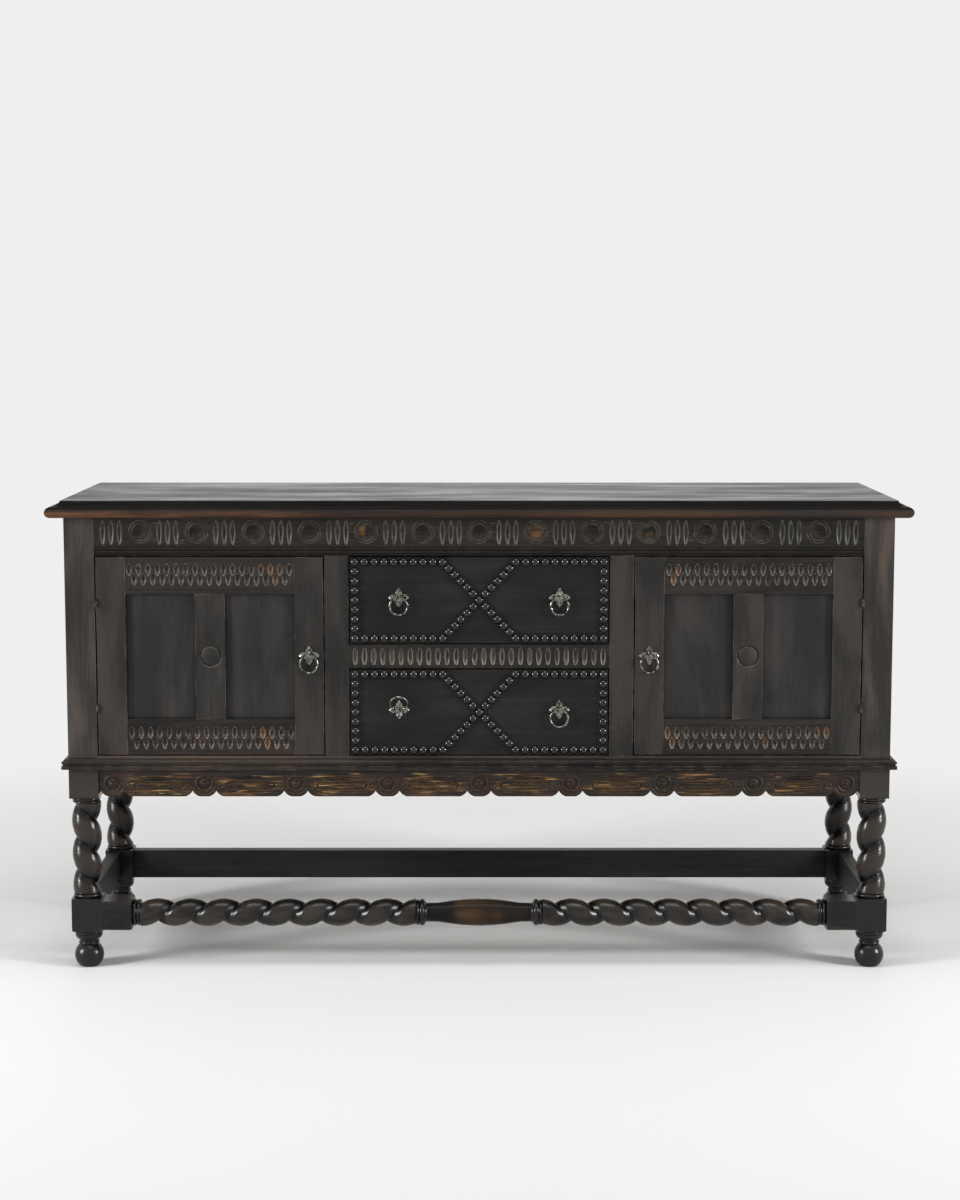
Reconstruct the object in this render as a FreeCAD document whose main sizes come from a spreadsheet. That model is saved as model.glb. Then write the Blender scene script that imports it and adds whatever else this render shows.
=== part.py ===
import FreeCAD, Part
import math
import os
from types import SimpleNamespace

import Sketcher

# A carved buffet cabinet on twist-turned legs, in millimetres. +Z is up, +X is to the
# right, the front faces -Y, and the origin is on the floor under the cabinet's middle.
# Pieces that come in pairs are built on the right and mirrored to the left.

DIMENSIONS = {
    # carcass and top
    "body_width": 1585,
    "body_depth": 474,
    "leg_height": 883,
    "top_thickness": 32,
    "top_overhang": 31,
    "nosing_radius": 10.5,
    "cove_width": 16,
    "cove_radius": 18,
    "post_width": 57,
    # front frame
    "frame_thickness": 22,
    "frieze_height": 74,
    "opening_base": 421,
    "bottom_rail_height": 25,
    "drawer_bay_width": 500,
    "inner_stile_width": 46,
    "divider_height": 46,
    # side and rear frames
    "rail_thickness": 22,
    "lower_rail_height": 80,
    "panel_thickness": 10,
    "panel_inset": 6,
    "groove_depth": 8,
    # mortise and tenon joints
    "tenon_length": 24,
    "tenon_thickness": 8,
    "tenon_shoulder": 6,
    "stub_length": 10,
    "joint_clearance": 0.2,
    # apron
    "apron_height": 55,
    "apron_thickness": 20,
    "apron_setback": 3,
    "apron_tenon_rise": 18,
    "rosette_margin": 27.5,
    "rosette_count": 9,
    "lobe_width": 46,
    "notch_width": 28,
    "notch_height": 11,
    "notch_curve": 22,
    # base moulding
    "base_projection": 12,
    "base_height": 20,
    "base_lip": 6.5,
    "base_quirk": 2.5,
    "base_quirk_height": 4.3,
    "base_roll": 2.35,
    "base_fillet": 3,
    "base_curve": 12,
    # legs
    "foot_flat_radius": 18,
    "neck_radius": 18,
    "neck_height": 6,
    "neck_gap": 3,
    "cup_radius": 26.5,
    "cup_height": 12,
    "cup_band": 7.2,
    "cup_fullness": 0.2,
    "block_height": 66,
    "block_shoulder": 6,
    "shoulder_reach": 2,
    "lower_collar_height": 12,
    "upper_collar_height": 11,
    "post_drop": 4,
    "twist_pitch": 64,
    "twist_valley": 18.5,
    "twist_start_angle": 109,
    "collar_core": 25,
    "collar_band": 4,
    "collar_fullness": 0.35,
    # stretchers
    "stretcher_block_length": 59,
    "stretcher_block_width": 57,
    "stretcher_radius": 27,
    "stretcher_valley": 16.5,
    "stretcher_start_angle": 32,
    "stretcher_collar": 16,
    "stretcher_ring_core": 23,
    "baluster_half": 97,
    "baluster_radius": 26.3,
    "baluster_neck": 18.5,
    "baluster_neck_length": 9,
    "baluster_fullness": 0.8,
    "baluster_flare": 9,
    "baluster_ring_core": 22.5,
    "baluster_rings": 18,
    "baluster_ring_share": 0.6,
    "stretcher_tenon": 22,
    "stretcher_tenon_length": 16,
    "plain_stretcher_height": 59,
    "plain_stretcher_thickness": 24,
    "side_stretcher_shift": 10,
    # cupboard floor, partitions and drawer guides
    "floor_thickness": 16,
    "batten_width": 20,
    "partition_thickness": 18,
    "runner_width": 26,
    "guide_height": 18,
    "running_gap": 0.4,
    "stop_width": 40,
    "stop_depth": 18,
    "stop_drop": 14,
    "stop_rise": 26,
    "stop_offset": 24,
    # doors
    "door_gap": 2.6,
    "closing_gap": 1,
    "door_stile_width": 55.5,
    "door_top_rail": 71.5,
    "door_bottom_rail": 69.5,
    "muntin_width": 57,
    "door_panel_thickness": 8,
    "door_panel_recess": 7,
    # hinges
    "upper_hinge_drop": 91,
    "lower_hinge_rise": 93,
    "leaf_height": 36,
    "leaf_depth": 15,
    "leaf_thickness": 1.5,
    "leaf_clearance": 0.5,
    "knuckle_height": 4,
    "knuckle_radius": 3.5,
    "knuckle_gap": 0.2,
    "knuckle_room": 0.4,
    "pin_radius": 1.5,
    "pin_clearance": 0.05,
    "pin_head_height": 2.4,
    "pin_proud": 2,
    # drawers
    "drawer_rear_room": 27,
    "drawer_side_thickness": 12,
    "drawer_side_rise": 12,
    "drawer_side_drop": 16,
    "drawer_lap": 12,
    "drawer_back_drop": 26,
    "drawer_bottom_thickness": 6,
    "drawer_bottom_rise": 6,
    "drawer_groove": 6,
    # beading on the drawer fronts
    "bead_strip_width": 18.5,
    "bead_strip_thickness": 2,
    "bead_radius": 8.7,
    "bead_height": 6.5,
    "bead_sink": 0.5,
    "cross_reach": 70,
    "side_beads": 9,
    "row_beads": 10,
    "cross_beads": 5,
    # ring pulls
    "plate_thickness": 2,
    "plate_reach": 18,
    "plate_side_reach": 20,
    "plate_waist": 6,
    "plate_curve": 14,
    "eye_wall": 2.4,
    "eye_room": 1,
    "ring_radius": 16.9,
    "ring_wire": 2.2,
    "ring_swing": 147,
    "shank_radius": 2.5,
    "shank_end": 3,
    "nut_width": 12,
    "nut_thickness": 4,
    "door_pull_lift": 2,
    "drawer_pull_offset": 154,
    "drawer_pull_lift": 5.5,
}

doc = FreeCAD.newDocument("buffet_cabinet")
Vector = FreeCAD.Vector
nodes = []


class Size:
    """A length with its value and the sheet expression that gives it."""

    def __init__(self, value, text):
        self.value = value
        self.text = text

    def __add__(self, other):
        other = as_size(other)
        return Size(self.value + other.value, f"({self.text} + {other.text})")

    def __sub__(self, other):
        other = as_size(other)
        return Size(self.value - other.value, f"({self.text} - {other.text})")

    def __mul__(self, other):
        other = as_size(other)
        return Size(self.value * other.value, f"({self.text} * {other.text})")

    def __truediv__(self, other):
        other = as_size(other)
        return Size(self.value / other.value, f"({self.text} / {other.text})")

    def __neg__(self):
        return Size(-self.value, f"(-{self.text})")

    def __rmul__(self, other):
        return as_size(other) * self


def as_size(number):
    """Return a size as it is, and a plain number as a fixed size."""
    if isinstance(number, Size):
        return number
    return Size(float(number), repr(float(number)))


def root(size):
    """Return the square root of a size."""
    return Size(math.sqrt(size.value), f"sqrt({size.text})")


def arc_radius(chord, rise):
    """Return the radius of the arc that rises so far above so long a chord."""
    half = chord / 2
    return (half * half + rise * rise) / (rise * 2)


def write_sheet():
    """Write the driving dimensions to the sheet and return them as sizes."""
    sheet = doc.addObject("Spreadsheet::Sheet", "dims")
    for row, (alias, value) in enumerate(DIMENSIONS.items(), start=1):
        sheet.set(f"A{row}", alias)
        sheet.set(f"B{row}", str(value))
        sheet.setAlias(f"B{row}", alias)
    sheet.recompute()
    sizes = {}
    for alias in DIMENSIONS:
        sizes[alias] = Size(float(sheet.get(alias)), f"dims.{alias}")
    return SimpleNamespace(**sizes)


def bind(target, prop, size):
    """Tie a property to the sheet."""
    target.setExpression(prop, as_size(size).text)


def place(target, x, y, z):
    """Tie an object's place to the sheet."""
    bind(target, "Placement.Base.x", x)
    bind(target, "Placement.Base.y", y)
    bind(target, "Placement.Base.z", z)
    return target


def block(name, x, y, z):
    """Make a rectangular piece from its low and high limits along X, Y and Z."""
    piece = doc.addObject("Part::Box", name)
    for prop, (low, high) in zip(("Length", "Width", "Height"), (x, y, z)):
        bind(piece, prop, as_size(high) - low)
    return place(piece, x[0], y[0], z[0])


def grow(limits, clearance):
    """Widen a block's limits by a clearance on every side."""
    wider = []
    for low, high in limits:
        wider.append((low - clearance, high + clearance))
    return wider


def cylinder(name, radius, length, axis, x, y, z):
    """Make a cylinder from its start point along an axis direction."""
    piece = doc.addObject("Part::Cylinder", name)
    bind(piece, "Radius", radius)
    bind(piece, "Height", length)
    piece.Placement.Rotation = FreeCAD.Rotation(Vector(0, 0, 1), axis)
    return place(piece, x, y, z)


def fuse(name, pieces):
    """Join pieces into one solid."""
    joined = doc.addObject("Part::MultiFuse", name)
    joined.Shapes = pieces
    joined.Refine = True
    return joined


def cut(name, base, tools):
    """Cut one or more tools out of a piece."""
    result = doc.addObject("Part::Cut", name)
    result.Base = base
    result.Tool = tools[0] if len(tools) == 1 else fuse(name + "_tools", tools)
    result.Refine = True
    return result


def common(name, first, second):
    """Keep what two pieces share."""
    result = doc.addObject("Part::Common", name)
    result.Base = first
    result.Tool = second
    result.Refine = True
    return result


def mirrored(name, source):
    """Mirror a right-hand piece to the left."""
    result = doc.addObject("Part::Mirroring", name)
    result.Source = source
    result.Normal = Vector(1, 0, 0)
    return result


def group(name, pieces):
    """Gather separate solids in one sub-part."""
    result = doc.addObject("Part::Compound", name)
    result.Links = pieces
    return result


def keep(piece, label):
    """Name a finished sub-part."""
    piece.Label = label
    nodes.append(piece)
    return piece


def keep_pair(name, source):
    """Name a right-hand piece and its mirror image as one sub-part."""
    return keep(group(name, [mirrored(name + "_left", source), source]), name)


def arc_edge(start, end, radius):
    """Return an arc between two points: counter-clockwise if the radius is positive."""
    chord = end - start
    rise = math.sqrt(max(radius * radius - (chord.Length / 2) ** 2, 0.0))
    side = Vector(-chord.y, chord.x, 0).normalize()
    centre = (start + end) / 2 + side * math.copysign(rise, radius)
    first, last = (start, end) if radius > 0 else (end, start)
    low = math.atan2(first.y - centre.y, first.x - centre.x)
    high = math.atan2(last.y - centre.y, last.x - centre.x)
    return Part.ArcOfCircle(Part.Circle(centre, Vector(0, 0, 1), abs(radius)), low, high)


def tie_corner(sketch, edge, end, x, y):
    """Tie one end of a sketch edge to the sheet, or to an axis where it lies on one."""
    for kind, axis, size in (("DistanceX", -2, as_size(x)), ("DistanceY", -1, as_size(y))):
        if size.text == "0.0":
            sketch.addConstraint(Sketcher.Constraint("PointOnObject", edge, end, axis))
        else:
            rule = sketch.addConstraint(Sketcher.Constraint(kind, -1, 1, edge, end, size.value))
            bind(sketch, f"Constraints[{rule}]", size)


def draw(sketch, outline):
    """Draw a closed outline. A corner is (x, y), or (x, y, radius) where an arc follows it."""
    first_edge = sketch.GeometryCount
    ends = []
    for index, corner in enumerate(outline):
        following = outline[(index + 1) % len(outline)]
        start = Vector(as_size(corner[0]).value, as_size(corner[1]).value, 0)
        end = Vector(as_size(following[0]).value, as_size(following[1]).value, 0)
        clockwise = len(corner) == 3 and corner[2].value < 0
        ends.append((2, 1) if clockwise else (1, 2))
        if len(corner) == 3:
            sketch.addGeometry(arc_edge(start, end, corner[2].value), False)
        else:
            sketch.addGeometry(Part.LineSegment(start, end), False)
    for index, corner in enumerate(outline):
        edge = first_edge + index
        previous = (index - 1) % len(outline)
        joint = (first_edge + previous, ends[previous][1], edge, ends[index][0])
        sketch.addConstraint(Sketcher.Constraint("Coincident", *joint))
        tie_corner(sketch, edge, ends[index][0], corner[0], corner[1])
    for index, corner in enumerate(outline):
        if len(corner) == 3:
            edge = first_edge + index
            rule = sketch.addConstraint(Sketcher.Constraint("Radius", edge, abs(corner[2].value)))
            bind(sketch, f"Constraints[{rule}]", -corner[2] if corner[2].value < 0 else corner[2])


def new_sketch(body, plane_role, name):
    """Add a sketch on one of the body's own origin planes."""
    sketch = body.newObject("Sketcher::SketchObject", name)
    for feature in body.Origin.OriginFeatures:
        if feature.Role == plane_role:
            sketch.AttachmentSupport = [(feature, "")]
    sketch.MapMode = "FlatFace"
    return sketch


def prism(name, plane_role, outlines, length):
    """Pad closed outlines square to a plane: +Z from XY_Plane, -Y from XZ_Plane, +X from YZ_Plane."""
    body = doc.addObject("PartDesign::Body", name)
    sketch = new_sketch(body, plane_role, name + "_outline")
    for outline in outlines:
        draw(sketch, outline)
    pad = body.newObject("PartDesign::Pad", name + "_pad")
    pad.Profile = sketch
    bind(pad, "Length", length)
    return body


def turned(name, outline):
    """Turn an outline of (radius, height) corners about the Z axis."""
    body = doc.addObject("PartDesign::Body", name)
    sketch = new_sketch(body, "XZ_Plane", name + "_outline")
    draw(sketch, outline)
    revolution = body.newObject("PartDesign::Revolution", name + "_turning")
    revolution.Profile = sketch
    revolution.ReferenceAxis = (sketch, ["V_Axis"])
    revolution.Angle = 360
    return body


def lay_along_x(piece):
    """Turn an upright piece so that its axis points along +X."""
    piece.Placement.Rotation = FreeCAD.Rotation(Vector(0, 1, 0), 90)
    return piece


def twist(name, length, outer, valley, pitch, start_angle):
    """Make a right-hand single twist along +Z.

    In the plane of its axis each lobe is an arc from valley to valley, so the cross-section
    is one lobe wrapped round the axis, with a notch where the valley passes.
    """
    lobe = arc_radius(pitch, outer - valley).value

    def section_point(turn):
        along = pitch.value * (turn - 0.5)
        radius = outer.value - lobe + math.sqrt(lobe * lobe - along * along)
        angle = math.radians(start_angle.value + 360 * turn)
        return Vector(radius * math.cos(angle), radius * math.sin(angle), 0)

    edges = []
    for quarter in range(4):
        turns = (quarter / 4, quarter / 4 + 1 / 8, quarter / 4 + 1 / 4)
        edges.append(Part.Arc(*[section_point(turn) for turn in turns]).toShape())
    spine = Part.LineSegment(Vector(), Vector(0, 0, length.value)).toShape()
    guide = Part.makeHelix(pitch.value, length.value, outer.value)
    pipe = Part.BRepOffsetAPI.MakePipeShell(Part.Wire([spine]))
    pipe.setAuxiliarySpine(Part.Wire(guide.Edges), True, 0)
    pipe.add(Part.Wire(edges))
    pipe.build()
    pipe.makeSolid()
    piece = doc.addObject("Part::Feature", name)
    piece.Shape = pipe.shape()
    return piece


def collar(base, top, core):
    """Return the outline of a turned ring that swells between two heights."""
    swell = arc_radius(top - base, (top - base) * d.collar_fullness)
    return [(0, base), (core, base, swell), (core, top), (0, top)]


def rounding(run, rise):
    """Return the radius of a full curve between two corners so far apart."""
    chord = root(run * run + rise * rise)
    return arc_radius(chord, chord * d.cup_fullness)


d = write_sheet()

# Limits that many pieces share
half_width = d.body_width / 2
front = (d.top_overhang - d.body_depth) / 2
back = front + d.body_depth
post_inner = half_width - d.post_width
post_back = front + d.post_width
rear_post_front = back - d.post_width
leg_x = half_width - d.post_width / 2
front_leg_y = front + d.post_width / 2
rear_leg_y = back - d.post_width / 2
frame_back = front + d.frame_thickness
frieze_base = d.leg_height - d.frieze_height
rear_face = back - d.rail_thickness
side_face = half_width - d.rail_thickness
bottom_rail_base = d.opening_base - d.bottom_rail_height
apron_base = bottom_rail_base - d.apron_height
lower_rail_base = d.opening_base - d.lower_rail_height
bay_half = d.drawer_bay_width / 2
stile_outer = bay_half + d.inner_stile_width
front_thickness = d.frame_thickness - d.closing_gap

# Heights that stack up in a leg, from the floor
twist_radius = d.post_width / 2
ball_centre = root(twist_radius * twist_radius - d.foot_flat_radius * d.foot_flat_radius)
neck_base = ball_centre + root(twist_radius * twist_radius - d.neck_radius * d.neck_radius)
neck_top = neck_base + d.neck_height
cup_base = neck_top + d.neck_gap
cup_top = cup_base + d.cup_height
block_base = cup_top + d.cup_band
block_top = block_base + d.block_height
twist_base = block_top + d.lower_collar_height
post_base = apron_base - d.post_drop
twist_top = post_base - d.upper_collar_height
stretcher_level = block_base + d.block_height / 2


def middle_span(low, high, thickness):
    """Return the limits of a strip of given thickness in the middle of a span."""
    centre = (low + high) / 2
    return (centre - thickness / 2, centre + thickness / 2)


def x_tenon(y, z, length, shoulder):
    """Return the limits of a tenon that runs through a rail into both posts along X."""
    reach = post_inner + length
    return [(-reach, reach), middle_span(*y, d.tenon_thickness), (z[0] + shoulder, z[1] - d.tenon_shoulder)]


def y_tenon(x, z, thickness, length):
    """Return the limits of a tenon that runs through a side rail into both posts along Y."""
    y = (post_back - length, rear_post_front + length)
    return [middle_span(*x, thickness), y, (z[0] + d.tenon_shoulder, z[1] - d.tenon_shoulder)]


def tenoned(name, limits, tenon):
    """Join a rail to the tenon that runs through it."""
    return fuse(name, [block(name + "_body", *limits), block(name + "_tenon", *tenon)])


def slot(name, limits):
    """Make the cutter for the mortise or groove that takes a tenon or panel edge."""
    return block(name, *grow(limits, d.joint_clearance))


# Rails between the front posts
frame_y = (front, frame_back)
frieze_z = (frieze_base, d.leg_height)
frieze_tenon = x_tenon(frame_y, frieze_z, d.tenon_length, d.tenon_shoulder)
bottom_rail_z = (bottom_rail_base, d.opening_base)
bottom_rail_tenon = x_tenon(frame_y, bottom_rail_z, d.tenon_length, d.tenon_shoulder)
apron_y = (front + d.apron_setback, front + d.apron_setback + d.apron_thickness)
apron_z = (apron_base, bottom_rail_base)
apron_tenon = x_tenon(apron_y, apron_z, d.tenon_length, d.apron_tenon_rise)

# The inner stiles stand between the frieze rail and the bottom rail on stub tenons
inner_stile_x = (bay_half, stile_outer)
stile_tongue_x = (bay_half + d.tenon_shoulder, stile_outer - d.tenon_shoulder)
stile_tongue = [
    stile_tongue_x,
    middle_span(*frame_y, d.tenon_thickness),
    (d.opening_base - d.stub_length, frieze_base + d.stub_length),
]
divider_z = middle_span(d.opening_base, frieze_base, d.divider_height)
divider_tenon = [
    (-bay_half - d.stub_length, bay_half + d.stub_length),
    middle_span(*frame_y, d.tenon_thickness),
    (divider_z[0] + d.tenon_shoulder, divider_z[1] - d.tenon_shoulder),
]

front_span = (-post_inner, post_inner)
stile_slot_right = slot("stile_slot_right", stile_tongue)
stile_slots = [stile_slot_right, mirrored("stile_slot_left", stile_slot_right)]
frieze_blank = tenoned("frieze_blank", (front_span, frame_y, frieze_z), frieze_tenon)
keep(cut("frieze_rail", frieze_blank, stile_slots), "frieze_rail")
bottom_rail_blank = tenoned("bottom_rail_blank", (front_span, frame_y, bottom_rail_z), bottom_rail_tenon)
keep(cut("bottom_rail", bottom_rail_blank, stile_slots), "bottom_rail")
stile_limits = (inner_stile_x, frame_y, (d.opening_base, frieze_base))
stile_blank = tenoned("inner_stile_blank", stile_limits, stile_tongue)
stile_right = cut("inner_stile_right", stile_blank, [slot("divider_slot", divider_tenon)])
keep_pair("inner_stiles", stile_right)
divider_limits = ((-bay_half, bay_half), frame_y, divider_z)
keep(tenoned("drawer_divider_rail", divider_limits, divider_tenon), "drawer_divider_rail")


def apron_notch(x):
    """Return the outline of one pointed notch in the apron's lower edge."""
    half = d.notch_width / 2
    curve = -d.notch_curve
    return [
        (x - half, apron_base),
        (x + half, apron_base, curve),
        (x, apron_base + d.notch_height, curve),
    ]


def front_apron():
    """Make the scalloped apron: a notched pair flanks each rosette along the lower edge."""
    board = [
        (-post_inner, apron_base),
        (post_inner, apron_base),
        (post_inner, bottom_rail_base),
        (-post_inner, bottom_rail_base),
    ]
    body = prism("apron_board", "XZ_Plane", [board], d.apron_thickness)
    place(body, 0, apron_y[1], 0)
    row_length = (post_inner - d.rosette_margin) * 2
    sketch = new_sketch(body, "XZ_Plane", "apron_notches")
    draw(sketch, apron_notch(-row_length / 2 - d.lobe_width / 2))
    draw(sketch, apron_notch(-row_length / 2 + d.lobe_width / 2))
    pocket = body.newObject("PartDesign::Pocket", "apron_notch_cut")
    pocket.Profile = sketch
    pocket.Type = "ThroughAll"
    pocket.Reversed = True
    doc.recompute()
    row = body.newObject("PartDesign::LinearPattern", "apron_notch_row")
    row.Originals = [pocket]
    row.Direction = (sketch, ["H_Axis"])
    bind(row, "Length", row_length)
    bind(row, "Occurrences", d.rosette_count)
    body.Tip = row
    return keep(fuse("front_apron", [body, block("apron_tenon", *apron_tenon)]), "front_apron")


front_apron()

# Rails and panels of the sides
side_x = (side_face, half_width)
side_upper_z = frieze_z
side_lower_z = (lower_rail_base, d.opening_base)
side_upper_tenon = y_tenon(side_x, side_upper_z, d.tenon_thickness, d.tenon_length)
side_lower_tenon = y_tenon(side_x, side_lower_z, d.tenon_thickness, d.tenon_length)
panel_z = (d.opening_base - d.groove_depth, frieze_base + d.groove_depth)
side_panel = [
    (half_width - d.panel_inset - d.panel_thickness, half_width - d.panel_inset),
    (post_back - d.groove_depth, rear_post_front + d.groove_depth),
    panel_z,
]
side_panel_slot = slot("side_panel_slot", side_panel)
side_span = (post_back, rear_post_front)
side_rails = []
for side_rail, limits_z, tenon in (
    ("side_upper_rail", side_upper_z, side_upper_tenon),
    ("side_lower_rail", side_lower_z, side_lower_tenon),
):
    side_blank = tenoned(side_rail + "_blank", (side_x, side_span, limits_z), tenon)
    side_rails.append(cut(side_rail, side_blank, [side_panel_slot]))
keep_pair("side_rails", group("side_rails_right", side_rails))
keep_pair("side_panels", block("side_panel", *side_panel))

# Rails and panel of the back
rear_y = (rear_face, back)
rear_upper_tenon = x_tenon(rear_y, frieze_z, d.tenon_length, d.tenon_shoulder)
rear_lower_tenon = x_tenon(rear_y, side_lower_z, d.tenon_length, d.tenon_shoulder)
panel_front = back - d.panel_inset - d.panel_thickness
back_panel = [
    (-post_inner - d.groove_depth, post_inner + d.groove_depth),
    (panel_front, back - d.panel_inset),
    panel_z,
]
back_panel_slot = slot("back_panel_slot", back_panel)
rear_rails = []
for rear_rail, limits_z, tenon in (
    ("rear_upper_rail", frieze_z, rear_upper_tenon),
    ("rear_lower_rail", side_lower_z, rear_lower_tenon),
):
    rear_blank = tenoned(rear_rail + "_blank", (front_span, rear_y, limits_z), tenon)
    rear_rails.append(cut(rear_rail, rear_blank, [back_panel_slot]))
keep(group("rear_rails", rear_rails), "rear_rails")
keep(block("back_panel", *back_panel), "back_panel")

# Stretchers
stretcher_inner = post_inner - d.stretcher_block_length
stretcher_twist_end = stretcher_inner - d.stretcher_collar
baluster_end = d.baluster_half + d.baluster_flare
stretcher_twist_start = baluster_end + d.baluster_rings
half_block = d.stretcher_block_width / 2
stretcher_reach = post_inner + d.stretcher_tenon_length
stretcher_tenon = [
    (-stretcher_reach, stretcher_reach),
    (front_leg_y - d.stretcher_tenon / 2, front_leg_y + d.stretcher_tenon / 2),
    (stretcher_level - d.stretcher_tenon / 2, stretcher_level + d.stretcher_tenon / 2),
]


def laid_turning(name, outline):
    """Turn an outline and lay it along X on the front stretcher's axis."""
    piece = lay_along_x(turned(name, outline))
    return place(piece, 0, front_leg_y, stretcher_level)


def shoulders(width, low, high, both_ends):
    """Return the outline that rounds the corners of a square block where its turning starts."""
    end_radius = width / 2 + d.shoulder_reach
    corner_radius = width * math.sqrt(0.5) + d.shoulder_reach
    curve = rounding(d.block_shoulder, corner_radius - end_radius)
    outline = [(0, low), (end_radius, low, curve), (corner_radius, low + d.block_shoulder)]
    if both_ends:
        outline.append((corner_radius, high - d.block_shoulder, curve))
        return outline + [(end_radius, high), (0, high)]
    return outline + [(corner_radius, high), (0, high)]


def baluster_outline():
    """Return the outline of the baluster: a swelling middle, two necks and flared ends."""
    neck = d.baluster_neck
    half = d.baluster_half
    swell_end = half - d.baluster_neck_length
    turn = swell_end * d.baluster_fullness
    rise = (d.baluster_radius - neck) * d.baluster_fullness
    turn_radius = d.baluster_radius - rise
    belly = arc_radius(turn * 2, rise)
    hollow = -arc_radius((swell_end - turn) * 2, turn_radius - neck)
    flare = -rounding(d.baluster_flare, d.baluster_ring_core - neck)
    return [
        (0, -baluster_end),
        (d.baluster_ring_core, -baluster_end, flare),
        (neck, -half),
        (neck, -swell_end, hollow),
        (turn_radius, -turn, belly),
        (turn_radius, turn, hollow),
        (neck, swell_end),
        (neck, half, flare),
        (d.baluster_ring_core, baluster_end),
        (0, baluster_end),
    ]


def front_stretcher():
    """Make the turned front stretcher: square ends, twists of opposite hand and a baluster."""
    ring_middle = baluster_end + d.baluster_rings * d.baluster_ring_share
    collar_middle = stretcher_inner - d.stretcher_collar / 2
    end_square = block(
        "stretcher_end_square",
        (stretcher_inner, post_inner),
        (front_leg_y - half_block, front_leg_y + half_block),
        (stretcher_level - half_block, stretcher_level + half_block),
    )
    end_outline = shoulders(d.stretcher_block_width, stretcher_inner, post_inner, False)
    end_block = common("stretcher_end", end_square, laid_turning("stretcher_end_turning", end_outline))
    end_collar = collar(collar_middle, stretcher_inner, d.stretcher_ring_core)
    twist_collar = collar(stretcher_twist_end, collar_middle, d.stretcher_ring_core)
    inner_ring = collar(baluster_end, ring_middle, d.baluster_ring_core)
    outer_ring = collar(ring_middle, stretcher_twist_start, d.baluster_ring_core)
    strand = twist(
        "stretcher_twist",
        stretcher_twist_end - stretcher_twist_start,
        d.stretcher_radius,
        d.stretcher_valley,
        d.twist_pitch,
        d.stretcher_start_angle,
    )
    place(lay_along_x(strand), stretcher_twist_start, front_leg_y, stretcher_level)
    right = [
        end_block,
        laid_turning("stretcher_end_collar", end_collar),
        laid_turning("stretcher_twist_collar", twist_collar),
        laid_turning("stretcher_inner_ring", inner_ring),
        laid_turning("stretcher_outer_ring", outer_ring),
        strand,
    ]
    right_half = fuse("stretcher_right", right)
    pieces = [
        right_half,
        mirrored("stretcher_left", right_half),
        laid_turning("stretcher_baluster", baluster_outline()),
        block("stretcher_tenon_body", *stretcher_tenon),
    ]
    return fuse("front_stretcher", pieces)


keep(front_stretcher(), "front_stretcher")

plain_half = d.plain_stretcher_height / 2
plain_z = (stretcher_level - plain_half, stretcher_level + plain_half)
plain_half_thickness = d.plain_stretcher_thickness / 2
rear_stretcher_y = (rear_leg_y - plain_half_thickness, rear_leg_y + plain_half_thickness)
rear_stretcher_tenon = x_tenon(rear_stretcher_y, plain_z, d.stretcher_tenon_length, d.tenon_shoulder)
rear_stretcher_limits = (front_span, rear_stretcher_y, plain_z)
keep(tenoned("rear_stretcher", rear_stretcher_limits, rear_stretcher_tenon), "rear_stretcher")
side_stretcher_middle = leg_x + d.side_stretcher_shift
side_stretcher_x = (side_stretcher_middle - plain_half_thickness, side_stretcher_middle + plain_half_thickness)
side_stretcher_tenon = y_tenon(side_stretcher_x, plain_z, d.tenon_thickness, d.stretcher_tenon_length)
side_stretcher_limits = (side_stretcher_x, side_span, plain_z)
keep_pair("side_stretchers", tenoned("side_stretcher", side_stretcher_limits, side_stretcher_tenon))

# Hinges, whose pins stand in the gap between post and door
hinge_x = post_inner - d.door_gap / 2
hinge_y = front - d.pin_proud
door_high = post_inner - d.door_gap
door_low = stile_outer + d.door_gap
door_z = (d.opening_base + d.door_gap, frieze_base - d.door_gap)
hinge_levels = {"upper": frieze_base - d.upper_hinge_drop, "lower": d.opening_base + d.lower_hinge_rise}
leaf_front = front - d.pin_proud + d.knuckle_radius + d.knuckle_room
leaf_y = (leaf_front, leaf_front + d.leaf_depth)
leaf_proud = (d.door_gap - d.leaf_clearance) / 2
post_leaf_x = (post_inner - leaf_proud, post_inner - leaf_proud + d.leaf_thickness)
door_leaf_x = (door_high + leaf_proud - d.leaf_thickness, door_high + leaf_proud)
knuckle_pitch = d.knuckle_height + d.knuckle_gap
hinge_half = d.knuckle_height * 1.5 + d.knuckle_gap


def knuckle(name, radius, level, length):
    """Make an upright cylinder about the hinge axis, centred on a level."""
    return cylinder(name, radius, length, Vector(0, 0, 1), hinge_x, hinge_y, level - length / 2)


def hinge_leaf(name, leaf_x, level, knuckle_levels):
    """Make a leaf with its knuckles and the webs that join them to the plate."""
    plate_z = (level - d.leaf_height / 2, level + d.leaf_height / 2)
    pieces = [block(name + "_plate", leaf_x, leaf_y, plate_z)]
    for index, knuckle_level in enumerate(knuckle_levels):
        web_z = (knuckle_level - d.knuckle_height / 2, knuckle_level + d.knuckle_height / 2)
        pieces.append(knuckle(f"{name}_knuckle_{index}", d.knuckle_radius, knuckle_level, d.knuckle_height))
        pieces.append(block(f"{name}_web_{index}", leaf_x, (hinge_y, leaf_y[1]), web_z))
    bore = knuckle(name + "_bore", d.pin_radius + d.pin_clearance, level, d.leaf_height)
    return cut(name, fuse(name + "_blank", pieces), [bore])


def hinge_pin(name, level):
    """Make a hinge pin with a button at each end."""
    button = arc_radius(d.pin_head_height, d.pin_head_height * d.collar_fullness)
    tip = hinge_half + d.pin_head_height
    outline = [
        (0, -tip),
        (d.pin_radius, -tip, button),
        (d.pin_radius, -hinge_half),
        (d.pin_radius, hinge_half, button),
        (d.pin_radius, tip),
        (0, tip),
    ]
    return place(turned(name, outline), hinge_x, hinge_y, level)


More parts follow.
